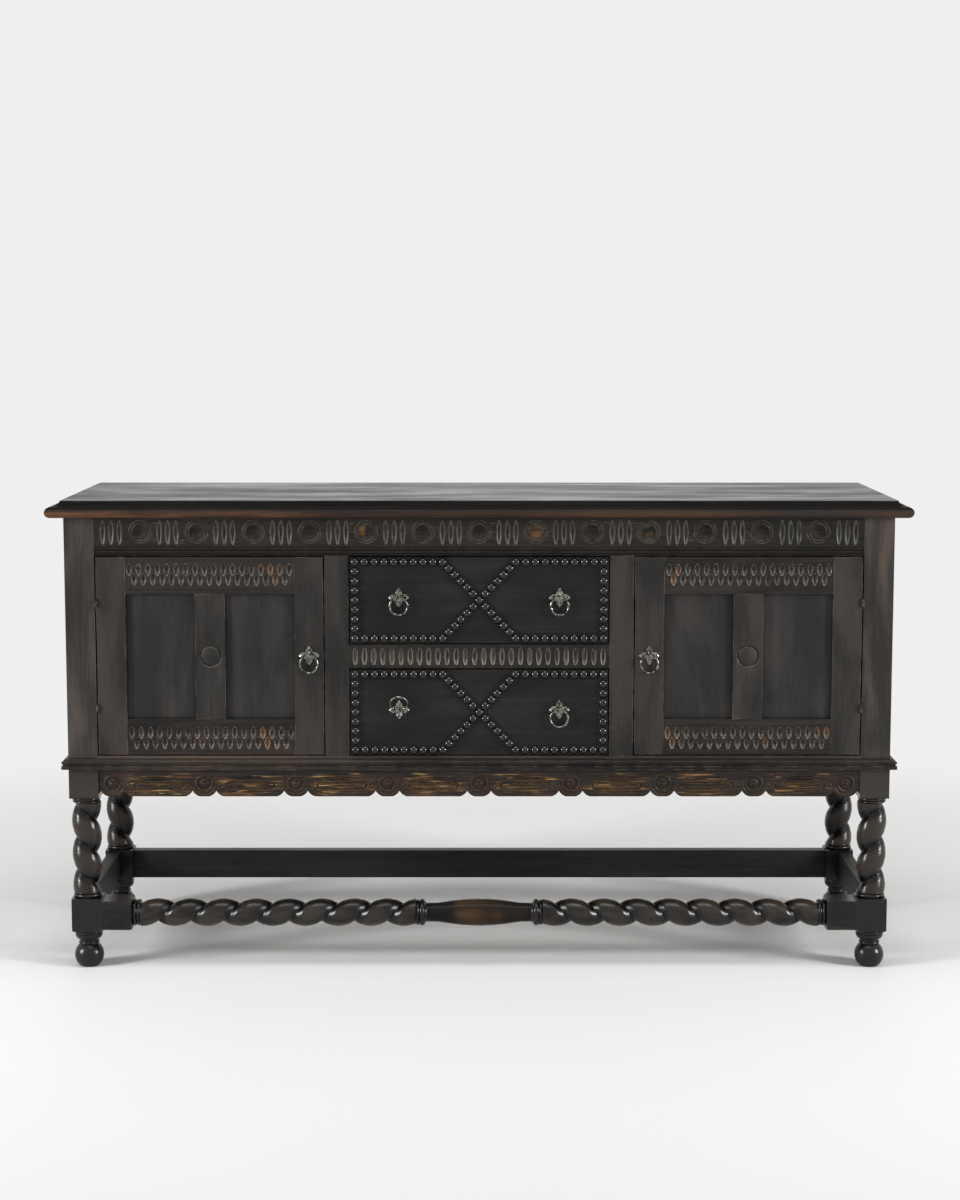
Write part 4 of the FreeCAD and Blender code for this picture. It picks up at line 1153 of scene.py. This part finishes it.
    STRETCHER = OakFinish(
        "turned_oak_stretcher",
        Grain.ALONG_X,
        *tints((8, 7, 7), (28, 25, 23), (50, 41, 33), (60, 51, 42)),
        brown_share=0.6,
        rub=0.42,
        patch=36.0,
        turning=STRETCHER_TURNING,
        zones=(
            Zone(0, 106 * MM, 98 * MM, tint(28, 26, 25), 0.75, False, True, 0.03),
            Zone(0, 56 * MM, 34 * MM, tint(74, 55, 38), 0.85, True, True),
        ),
        **POLISHED_TURNING,
    )
    PLAIN_X = OakFinish("plain_oak_board", Grain.ALONG_X, *PLAIN_OAK, matt=0.6)
    PLAIN_Y = OakFinish("plain_oak_side", Grain.ALONG_Y, *PLAIN_OAK, matt=0.6)
    PLAIN_Z = OakFinish("plain_oak_upright", Grain.ALONG_Z, *PLAIN_OAK, matt=0.6)
    BRASS = MetalFinish("aged_brass", *tints((46, 45, 41), (138, 136, 127), (240, 238, 228)), 0.2)
    STEEL = MetalFinish("hinge_steel", *tints((30, 29, 28), (70, 68, 66), (130, 128, 124)), 0.45)


class Dressing:
    """Gives each node and each new piece its finish."""

    NODES: dict[Finish, tuple[str, ...]] = {
        Finish.FRAME_X: ("bottom_rail",),
        Finish.REAR_X: ("rear_rails", "rear_stretcher"),
        Finish.FRAME_Y: ("side_rails",),
        Finish.SIDE_STRETCHER: ("side_stretchers",),
        Finish.FRAME_Z: ("inner_stiles", "left_door_stiles", "right_door_stiles"),
        Finish.PANEL: ("left_door_panels", "right_door_panels", "side_panels"),
        Finish.DRAWER: ("upper_drawer_front", "lower_drawer_front"),
        Finish.BEAD: ("upper_drawer_beading", "lower_drawer_beading"),
        Finish.TOP: ("top_board",),
        Finish.MOULDING: ("base_moulding",),
        Finish.LEG: ("leg_front_left", "leg_front_right", "leg_rear_left", "leg_rear_right"),
        Finish.STRETCHER: ("front_stretcher",),
        Finish.PLAIN_X: (
            "back_panel",
            "bottom_board",
            "door_stops",
            "upper_drawer_back",
            "lower_drawer_back",
            "upper_drawer_bottom",
            "lower_drawer_bottom",
        ),
        Finish.PLAIN_Y: (
            "drawer_runners",
            "floor_battens",
            "upper_drawer_sides",
            "lower_drawer_sides",
        ),
        Finish.PLAIN_Z: ("partitions",),
        Finish.BRASS: (
            "left_door_pull_bolt",
            "right_door_pull_bolt",
            "upper_drawer_pull_bolts",
            "lower_drawer_pull_bolts",
        ),
        Finish.STEEL: (
            "hinge_pins",
            "hinge_post_leaves",
            "left_door_hinge_leaves",
            "right_door_hinge_leaves",
        ),
    }

    def __init__(self) -> None:
        """Make every finish once."""
        self.made = {finish: finish.value.make() for finish in Finish}

    def coat(self, piece: Piece, finish: Finish) -> None:
        """Put a finish on a piece in place of what it has."""
        piece.data.materials.clear()
        piece.data.materials.append(self.made[finish])

    def dress_frame(self) -> None:
        """Give the frame's own nodes their finishes."""
        for finish, names in self.NODES.items():
            for name in names:
                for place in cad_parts[name].material_slots:
                    place.link = "OBJECT"
                    place.material = self.made[finish]
                LOG.info("node %s gets %s", name, finish.value.name)

    def fit(self, piece: Piece, body: str, slot: str, *nodes: str) -> None:
        """Hang a finished piece on its body in place of nodes.

        Args:
            piece: The finished piece.
            body: The body that it moves with.
            slot: The slot of its material; not used.
            nodes: The nodes that it stands for.
        """
        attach(piece, body)
        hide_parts(*nodes)
        LOG.info("piece %s: %d faces, rides on %s", piece.name, len(piece.data.polygons), body)


@dataclass
class Cut:
    """A cutter's pattern with the points where it is used, as (x, height) on the front."""

    pattern: Piece
    points: list[Span]
    proud: float = 0.0
    finish: Finish | None = None


@dataclass
class CarvedBoard:
    """A board of the frame with carving cut into its front face."""

    name: str
    node: str
    body: str
    face: Finish
    cut_face: Finish
    front: float = FRONT
    ease: float = 0.55 * MM

    def cuts(self) -> Iterable[Cut]:
        """Give the cutters of this board."""
        return ()

    def bosses(self) -> Iterable[Cut]:
        """Give the shapes that stand up from this board."""
        return ()

    def set_out(self, cut: Cut, finish: bpy.types.Material) -> Piece:
        """Copy a pattern to its points on the front face and use the pattern up.

        Args:
            cut: The pattern and its points.
            finish: The material of the set.

        Returns:
            The joined set.
        """
        copies = []
        for x, height in cut.points:
            move = Matrix.Translation((x, self.front - cut.proud, height))
            copies.append(Bench.copied(cut.pattern, cut.pattern.name + "_set", move))
        bpy.data.objects.remove(cut.pattern)
        whole = Bench.joined(self.name + "_set", copies)
        whole.data.materials.clear()
        whole.data.materials.append(finish)
        return whole

    def build(self, dressing: Dressing) -> None:
        """Carve the board and hang it on its body.

        Args:
            dressing: The finishes.
        """
        board = Bench.from_frame(self.node, self.name)
        dressing.coat(board, self.face)
        for cut in self.cuts():
            finish = dressing.made[cut.finish or self.cut_face]
            Bench.combine(board, self.set_out(cut, finish), "DIFFERENCE")
        for boss in self.bosses():
            Bench.combine(board, self.set_out(boss, dressing.made[self.face]), "UNION")
        Bench.soften(board, self.ease)
        dressing.fit(board, self.body, "dark_oak", self.node)


def row(count: int, pitch: float, centre: float = 0.0) -> list[float]:
    """Space points evenly about a centre."""
    return [centre + (index - (count - 1) / 2) * pitch for index in range(count)]


@dataclass
class Frieze(CarvedBoard):
    """The frieze rail: dished roundels between groups of three upright gouges."""

    pitch: float = 108 * MM
    roundels: int = 13
    roundel_level: float = 855 * MM
    dish_radius: float = 13.0 * MM
    dish_depth: float = 2.6 * MM
    rims: tuple[Span, ...] = ((16.0 * MM, 1.7 * MM), (21.2 * MM, 1.3 * MM))
    rim_proud: float = 0.1 * MM
    gouge_half: float = 26.5 * MM
    gouge_radius: float = 5.6 * MM
    gouge_proud: float = 1.2 * MM
    gouge_pitch: float = 16 * MM
    gouge_level: float = 853.5 * MM
    tie_half: float = 7.0 * MM
    tie_radius: float = 1.4 * MM
    tie_reach: float = 27.0 * MM
    tie_rises: tuple[float, ...] = (-16 * MM, 0.0, 16 * MM)
    line_levels: tuple[float, ...] = (823 * MM, 816.5 * MM)
    line_half: float = 730 * MM
    line_radius: float = 1.0 * MM
    line_proud: float = 0.2 * MM

    def cuts(self) -> Iterable[Cut]:
        """Give the gouges, dishes, rims, ties and lines.

        Returns:
            The cutters in the order of work.
        """
        centres = row(self.roundels, self.pitch)
        gouges = []
        for centre in row(self.roundels + 1, self.pitch):
            gouges += [(x, self.gouge_level) for x in row(3, self.gouge_pitch, centre)]
        gouge = Bench.spindle("gouge", self.gouge_half, self.gouge_radius, sides=12)
        yield Cut(gouge, gouges, self.gouge_proud)
        roundels = [(x, self.roundel_level) for x in centres]
        dish = (self.dish_radius**2 + self.dish_depth**2) / (2 * self.dish_depth)
        bowl = Bench.ball("dish", (dish, dish, dish), sides=48)
        yield Cut(bowl, roundels, dish - self.dish_depth, Finish.ROUNDEL_CUT)
        for radius, wire in self.rims:
            yield Cut(Bench.hoop("rim", radius, wire), roundels, self.rim_proud, Finish.LINE_CUT)
        ties = []
        for x in centres:
            for reach in (-self.tie_reach, self.tie_reach):
                ties += [(x + reach, self.roundel_level + rise) for rise in self.tie_rises]
        tie = Bench.spindle("tie", self.tie_half, self.tie_radius, sides=8, lying=True)
        yield Cut(tie, ties, 0.0, Finish.ROUNDEL_CUT)
        lines = [(0.0, level) for level in self.line_levels]
        line = Bench.rod("line", self.line_half, self.line_radius)
        yield Cut(line, lines, self.line_proud, Finish.SHADOW_CUT)


@dataclass
class DividerRail(CarvedBoard):
    """The rail between the drawers: one row of upright flutes between two lines."""

    flutes: int = 28
    pitch: float = 17.6 * MM
    level: float = MIDDLE_LEVEL
    flute: Triple = (5.3 * MM, 4.6 * MM, 17 * MM)
    line_reach: float = 20 * MM
    line_half: float = 248 * MM
    line_radius: float = 0.9 * MM
    line_proud: float = 0.1 * MM

    def cuts(self) -> Iterable[Cut]:
        """Give the flutes and the lines.

        Returns:
            The cutters in the order of work.
        """
        flutes = [(x, self.level) for x in row(self.flutes, self.pitch)]
        yield Cut(Bench.ball("flute", self.flute, sides=16), flutes)
        lines = [(0.0, self.level + reach) for reach in (-self.line_reach, self.line_reach)]
        line = Bench.rod("line", self.line_half, self.line_radius)
        yield Cut(line, lines, self.line_proud, Finish.SHADOW_CUT)


@dataclass
class DoorRails(CarvedBoard):
    """A door's two rails, each with two rows of gouges that lie between each other."""

    centre: float = DOOR_MIDDLE
    count: int = 18
    pitch: float = 18 * MM
    levels: tuple[Span, ...] = ((782 * MM, 763.5 * MM), (466 * MM, 446.5 * MM))
    half_length: float = 13.0 * MM
    radius: float = 5.6 * MM
    proud: float = 1.0 * MM

    def cuts(self) -> Iterable[Cut]:
        """Give the gouges, row by row.

        Returns:
            The cutters in the order of work.
        """
        for levels in self.levels:
            for level, count in zip(levels, (self.count, self.count - 1)):
                points = [(x, level) for x in row(count, self.pitch, self.centre)]
                gouge = Bench.spindle("gouge", self.half_length, self.radius, sides=10)
                yield Cut(gouge, points, self.proud)


@dataclass
class Muntin(CarvedBoard):
    """A door's middle upright with a carved ring."""

    centre: float = DOOR_MIDDLE
    level: float = MIDDLE_LEVEL
    radius: float = 19.3 * MM
    wire: float = 2.8 * MM
    proud: float = 0.2 * MM

    def cuts(self) -> Iterable[Cut]:
        """Give the ring."""
        ring = Bench.hoop("ring", self.radius, self.wire)
        yield Cut(ring, [(self.centre, self.level)], self.proud)


@dataclass
class Apron(CarvedBoard):
    """The apron: rosettes over the lobes with long straps and scrolls between them."""

    front: float = APRON_FRONT
    rosettes: int = 9
    pitch: float = APRON_PITCH
    level: float = 365 * MM
    rings: tuple[Span, ...] = ((19.5 * MM, 1.5 * MM), (11.0 * MM, 2.8 * MM))
    ring_proud: float = 0.1 * MM
    button: Triple = (5.0 * MM, 2.8 * MM, 5.0 * MM)
    loop_half: float = 47 * MM
    loop_rise: float = 6.0 * MM
    loop_wire: float = 2.2 * MM
    loop_level: float = 361.5 * MM
    straps: tuple[Triple, ...] = (
        (361.5 * MM, 38 * MM, 2.6 * MM),
        (377 * MM, 58 * MM, 4.4 * MM),
        (349.5 * MM, 48 * MM, 2.2 * MM),
    )
    strap_proud: float = 0.3
    scroll_reach: float = 30 * MM
    scroll_level: float = 362 * MM
    scroll_radius: float = 4.4 * MM
    scroll_wire: float = 1.5 * MM
    scroll_limit: float = 725.5 * MM

    def loop(self) -> Piece:
        """Shape a long loop by drawing a ring's two halves apart.

        Returns:
            The loop, in the middle of the frame.
        """
        draw = self.loop_half - self.loop_rise
        loop = Bench.hoop("loop", self.loop_rise, self.loop_wire)
        Bench.pick(loop, Element.CORNER, lambda corner: corner.x > 0)
        bpy.ops.transform.translate(value=(draw, 0, 0))
        Bench.pick(loop, Element.CORNER, lambda corner: corner.x <= 0)
        bpy.ops.transform.translate(value=(-draw, 0, 0))
        Bench.close_up()
        return loop

    def cuts(self) -> Iterable[Cut]:
        """Give the rings, the loops, the straps' hollows and the scrolls.

        Returns:
            The cutters in the order of work.
        """
        centres = row(self.rosettes, self.pitch)
        bays = row(self.rosettes - 1, self.pitch)
        points = [(x, self.level) for x in centres]
        for radius, wire in self.rings:
            yield Cut(Bench.hoop("ring", radius, wire), points, self.ring_proud, Finish.APRON_LINE)
        yield Cut(self.loop(), [(x, self.loop_level) for x in bays], 0.0, Finish.APRON_LINE)
        for level, half, radius in self.straps:
            strap = Bench.spindle("strap", half, radius, sides=10, lying=True)
            yield Cut(strap, [(x, level) for x in bays], radius * self.strap_proud)
        reaches = (-self.scroll_reach, self.scroll_reach)
        places = [x + reach for x in centres for reach in reaches]
        scrolls = [(x, self.scroll_level) for x in places if abs(x) < self.scroll_limit]
        scroll = Bench.hoop("scroll", self.scroll_radius, self.scroll_wire, sides=24)
        yield Cut(scroll, scrolls, 0.0, Finish.APRON_LINE)

    def bosses(self) -> Iterable[Cut]:
        """Give the rosettes' buttons."""
        points = [(x, self.level) for x in row(self.rosettes, self.pitch)]
        yield Cut(Bench.ball("button", self.button, sides=16), points)


@dataclass
class PullPlace:
    """Where a pull is: its name, its point on the front and its ring's swing in degrees."""

    name: str
    x: float
    level: float
    swing: float = 0.0

    def move(self) -> Matrix:
        """Give the shift from the middle of the frame to this pull."""
        return Matrix.Translation((self.x, FRONT, self.level))

    def hang(self, proud: float) -> Matrix:
        """Give the move of this pull's ring, whose pivot stands proud of the front."""
        swing = Matrix.Rotation(-math.radians(self.swing), 4, "X")
        return self.move() @ Matrix.Translation((0, -proud, 0)) @ swing


@dataclass
class Pulls:
    """The six ring pulls: leafed plates with a boss and rings with a roped half."""

    ring_radius: float = 16.9 * MM
    wire: float = 2.2 * MM
    pivot_proud: float = 7.6 * MM
    ring_rise: float = 0.478 * MM
    rope_cuts: int = 119
    rope_share: float = 0.27
    rope_depth: float = 0.74
    rope_turns: float = 10.0
    groove_half: float = 5.0
    groove_pitch: float = 120.0
    leaf_rise: float = 2.6 * MM
    leaf_sink: float = 1.5 * MM
    border: float = 0.2
    border_rise: float = 0.02
    hollow_border: float = 0.16
    hollow_depth: float = 0.1
    corner_drop: float = 0.55
    leaves: tuple[Triple, ...] = (
        (0.0, 7.9 * MM, 10.8 * MM),
        (95.0, 7.4 * MM, 12.4 * MM),
        (-95.0, 7.4 * MM, 12.4 * MM),
        (180.0, 6.9 * MM, 11.0 * MM),
    )
    petals: int = 8
    petal: Triple = (2.0 * MM, 1.7 * MM, 2.0 * MM)
    petal_sink: float = 2.0 * MM
    petal_reach: float = 6.6 * MM
    plate_ease: float = 0.12 * MM
    door: Span = (326.35 * MM, 617 * MM)
    drawer_x: float = 154 * MM
    upper_level: float = 729 * MM
    lower_level: float = 512 * MM
    swung_up: float = 147.0

    def leaf(self, half: float) -> Piece:
        """Shape one leaf: a lozenge with a bevelled border and a sunk middle.

        Args:
            half: The length from its middle to a corner.

        Returns:
            The leaf, in the middle of the frame and facing the front.
        """
        bpy.ops.mesh.primitive_cylinder_add(
            vertices=4, radius=half, depth=self.leaf_rise, rotation=(QUARTER, 0, 0)
        )
        leaf = Bench.started("leaf")
        face, outer = -self.leaf_rise / 2 * NEARLY, half * NEARLY
        Bench.pick(leaf, Element.FACE, lambda middle: middle.y < face)
        bpy.ops.mesh.inset(thickness=half * self.border, depth=half * self.border_rise)
        bpy.ops.mesh.inset(thickness=half * self.hollow_border, depth=-half * self.hollow_depth)
        Bench.pick(
            leaf, Element.CORNER, lambda corner: corner.y < face and corner.xz.length > outer
        )
        bpy.ops.transform.translate(value=(0, self.leaf_rise * self.corner_drop, 0))
        Bench.close_up()
        return leaf

    def plate(self) -> Piece:
        """Shape one plate, centred on its bolt.

        Returns:
            The plate as a pattern.
        """
        plate = Bench.from_frame("right_door_pull_plate", "plate_pattern")
        plate.data.transform(Matrix.Translation((-self.door[0], -FRONT, -self.door[1])))
        for turn, half, reach in self.leaves:
            leaf = self.leaf(half)
            swing = Matrix.Rotation(math.radians(turn), 4, "Y")
            leaf.data.transform(swing @ Matrix.Translation((0, -self.leaf_sink, reach)))
            Bench.combine(plate, leaf, "UNION")
        for index in range(self.petals):
            angle = FULL * (index + 0.5) / self.petals
            across, up = self.petal_reach * math.cos(angle), self.petal_reach * math.sin(angle)
            petal = Bench.ball("petal", self.petal)
            petal.data.transform(Matrix.Translation((across, -self.petal_sink, up)))
            Bench.combine(plate, petal, "UNION")
        Bench.soften(plate, self.plate_ease, angle=30.0)
        return plate

    def rope(self) -> Piece:
        """Make a straight wire along X with three grooves in its middle half.

        Returns:
            The wire, as long as a ring is round.
        """
        length = FULL * self.ring_radius
        bpy.ops.mesh.primitive_cylinder_add(
            vertices=16,
            radius=self.wire,
            depth=length,
            end_fill_type="NOTHING",
            rotation=(0, QUARTER, 0),
        )
        wire = Bench.started("ring_pattern")
        Bench.pick(wire, Element.EDGE, lambda middle: abs(middle.x) < self.wire)
        bpy.ops.mesh.subdivide(number_cuts=self.rope_cuts)
        reach, pitch = length * self.rope_share, self.groove_pitch

        def in_groove(corner: Vector) -> bool:
            """Tell whether a corner lies in one of the rope's grooves."""
            angle = math.degrees(math.atan2(corner.z, corner.y)) % pitch
            return abs(corner.x) < reach and min(angle, pitch - angle) < self.groove_half

        Bench.pick(wire, Element.CORNER, in_groove)
        bpy.ops.transform.resize(value=(1.0, self.rope_depth, self.rope_depth))
        return wire

    def ring(self) -> Piece:
        """Shape one ring that hangs from the middle of the frame, roped in its lower half.

        Returns:
            The ring as a pattern.
        """
        ring = self.rope()
        twist = FULL * self.rope_turns
        Bench.work(ring, "SIMPLE_DEFORM", deform_method="TWIST", deform_axis="X", angle=twist)
        Bench.work(ring, "SIMPLE_DEFORM", deform_method="BEND", deform_axis="Z", angle=FULL)
        Bench.open_up(ring)
        Bench.close_up()
        Bench.take(ring)
        bpy.ops.object.shade_smooth_by_angle(angle=math.radians(50))
        corners = ring.data.vertices
        middle = sum((corner.co for corner in corners), Vector()) / len(corners)
        turn = (-middle).to_2d().angle_signed(Vector((0, -1)), 0.0)
        drop = Matrix.Translation((0, 0, self.ring_rise - self.ring_radius))
        upright = Matrix.Rotation(QUARTER, 4, "X") @ Matrix.Rotation(-turn, 4, "Z")
        ring.data.transform(drop @ upright @ Matrix.Translation(-middle))
        return ring

    def places(self) -> dict[str, list[PullPlace]]:
        """Tell where the pulls are.

        Returns:
            The pulls of each door and drawer.
        """
        door_x, door_level = self.door
        places = {
            "left_door": [PullPlace("left_door", -door_x, door_level)],
            "right_door": [PullPlace("right_door", door_x, door_level)],
        }
        levels = {"upper_drawer": self.upper_level, "lower_drawer": self.lower_level}
        for drawer, level in levels.items():
            swing = self.swung_up if drawer == "lower_drawer" else 0.0
            places[drawer] = [
                PullPlace(drawer + "_left", -self.drawer_x, level, swing),
                PullPlace(drawer + "_right", self.drawer_x, level),
            ]
        return places

    def build(self, dressing: Dressing) -> None:
        """Make every pull's plate and ring and hang them on their bodies.

        Args:
            dressing: The finishes.
        """
        plate, ring = self.plate(), self.ring()
        for body, places in self.places().items():
            node = body + ("_pull_plate" if len(places) == 1 else "_pull_plates")
            plates = [Bench.copied(plate, node, place.move()) for place in places]
            whole = Bench.joined("leafed_" + node, plates)
            dressing.coat(whole, Finish.BRASS)
            dressing.fit(whole, body, "aged_brass", node)
            for place in places:
                node = place.name + "_pull_ring"
                hanging = Bench.copied(ring, "roped_" + node, place.hang(self.pivot_proud))
                dressing.coat(hanging, Finish.BRASS)
                dressing.fit(hanging, place.name + "_ring", "aged_brass", node)
        bpy.data.objects.remove(plate)
        bpy.data.objects.remove(ring)


@dataclass(frozen=True)
class Softbox:
    """A soft studio lamp."""

    name: str
    place: Triple
    aim: Triple
    width: float
    height: float
    watts: float

    def hang(self) -> None:
        """Hang the lamp."""
        lamp = bpy.data.lights.new(self.name, "AREA")
        lamp.shape = "RECTANGLE"
        lamp.size = self.width
        lamp.size_y = self.height
        lamp.energy = self.watts
        holder = bpy.data.objects.new(self.name, lamp)
        holder.location = self.place
        way = Vector(self.aim) - Vector(self.place)
        holder.rotation_euler = way.to_track_quat("-Z", "Y").to_euler()
        bpy.context.scene.collection.objects.link(holder)


@dataclass
class Studio:
    """The pale floor, the soft light and the camera."""

    floor_radius: float = 9.0
    floor_tint: Colour = tint(222, 222, 221)
    floor_fade: Span = (0.8, 2.4)
    wall_tint: Colour = tint(239, 239, 239)
    dim: float = 0.21
    camera_place: Triple = (1.59 * MM, -4.6714, 1.2678)
    camera_pitch: float = 6.967
    camera_lens: float = 70.31
    camera_sensor: float = 36.0
    lamps: tuple[Softbox, ...] = (
        Softbox("left_softbox", (-3.6, -1.75, 1.35), (0, 0, 0.5), 0.6, 1.1, 142.0),
        Softbox("right_softbox", (3.6, -1.75, 1.35), (0, 0, 0.5), 0.6, 1.1, 142.0),
        Softbox("overhead_softbox", (0, -0.8, 3.3), (0, -0.2, 0), 2.6, 1.6, 58.0),
        Softbox("rear_softbox", (0, 3.2, 2.4), (0, 0, 0.5), 3.0, 1.2, 30.0),
    )

    def pale(self, tree: bpy.types.NodeTree) -> Socket:
        """Tell whether a ray is one that sees the pale background.

        Args:
            tree: The node tree that asks.

        Returns:
            1 for camera, glossy and transmission rays and 0 for others.
        """
        path = tree.nodes.new("ShaderNodeLightPath")
        seen = path.outputs["Is Camera Ray"]
        for other in ("Is Glossy Ray", "Is Transmission Ray"):
            either = tree.nodes.new("ShaderNodeMath")
            either.operation = "MAXIMUM"
            tree.links.new(seen, either.inputs[0])
            tree.links.new(path.outputs[other], either.inputs[1])
            seen = either.outputs[0]
        return seen

    def floor_finish(self) -> bpy.types.Material:
        """Make the floor's material, which fades into the background far away.

        Returns:
            The material.
        """
        shade = Shade("pale_floor")
        darker = tuple(level * 0.97 for level in self.floor_tint)
        mottle = shade.blend(shade.noise(shade.place, 1.5, detail=3.0), self.floor_tint, darker)
        shade.fill(shade.surface, Base_Color=mottle, Roughness=0.7, Specular_IOR_Level=0.2)
        away = shade.vector("LENGTH", shade.place, output="Value")
        far = shade.times(shade.band(away, *self.floor_fade), self.pale(shade.tree))
        glow = shade.node("ShaderNodeEmission", Color=self.wall_tint)
        mix = shade.tree.nodes.new("ShaderNodeMixShader")
        for socket, value in zip(mix.inputs, (far, shade.surface.outputs[0], glow.outputs[0])):
            shade.feed(socket, value)
        shade.fill(shade.tree.nodes["Material Output"], Surface=mix.outputs[0])
        return shade.material

    def lay_floor(self) -> None:
        """Lay the pale floor."""
        bpy.ops.mesh.primitive_circle_add(vertices=96, radius=self.floor_radius, fill_type="NGON")
        floor = Bench.started("studio_floor")
        floor.data.materials.append(self.floor_finish())

    def light_room(self) -> None:
        """Fill the room with dim light in front of a pale background."""
        world = bpy.data.worlds.new("studio")
        world.use_nodes = True
        tree = world.node_tree
        wall = tree.nodes["Background"]
        wall.inputs["Color"].default_value = (*self.wall_tint, 1.0)
        fill = tree.nodes.new("ShaderNodeBackground")
        fill.inputs["Color"].default_value = (1.0, 1.0, 1.0, 1.0)
        fill.inputs["Strength"].default_value = self.dim
        mix = tree.nodes.new("ShaderNodeMixShader")
        for socket, value in zip(mix.inputs, (self.pale(tree), fill.outputs[0], wall.outputs[0])):
            tree.links.new(value, socket)
        tree.links.new(mix.outputs[0], tree.nodes["World Output"].inputs["Surface"])
        bpy.context.scene.world = world

    def set_camera(self) -> None:
        """Stand the camera where the photograph was taken from."""
        lens = bpy.data.cameras.new("camera")
        lens.lens = self.camera_lens
        lens.sensor_width = self.camera_sensor
        holder = bpy.data.objects.new("camera", lens)
        holder.location = self.camera_place
        holder.rotation_euler = (math.radians(90 - self.camera_pitch), 0, 0)
        bpy.context.scene.collection.objects.link(holder)
        bpy.context.scene.camera = holder
        bpy.context.scene.view_settings.view_transform = "Standard"

    def build(self) -> None:
        """Lay the floor, light the room and set up the camera."""
        self.lay_floor()
        for lamp in self.lamps:
            lamp.hang()
        self.light_room()
        self.set_camera()


def main() -> None:
    """Build every sub-assembly in order."""
    logging.basicConfig(level=logging.INFO, format="%(message)s")
    bpy.ops.object.select_all(action="DESELECT")
    dressing = Dressing()
    dressing.dress_frame()
    boards: list[CarvedBoard] = [
        Frieze("carved_frieze_rail", "frieze_rail", "carcass", Finish.FRIEZE, Finish.FRIEZE_CUT),
        DividerRail(
            "fluted_divider_rail",
            "drawer_divider_rail",
            "carcass",
            Finish.CARVED_X,
            Finish.FLUTE_CUT,
        ),
        Apron("carved_apron", "front_apron", "carcass", Finish.APRON, Finish.APRON_CUT),
    ]
    for hand, centre in (("left", -DOOR_MIDDLE), ("right", DOOR_MIDDLE)):
        door = hand + "_door"
        boards += [
            DoorRails(
                f"carved_{door}_rails",
                door + "_rails",
                door,
                Finish.CARVED_X,
                Finish.GOUGE_CUT,
                centre=centre,
            ),
            Muntin(
                f"ringed_{door}_muntin",
                door + "_muntin",
                door,
                Finish.FRAME_Z,
                Finish.LINE_CUT,
                centre=centre,
            ),
        ]
    for board in boards:
        board.build(dressing)
    Pulls().build(dressing)
    Studio().build()


if __name__ == "__main__":
    main()
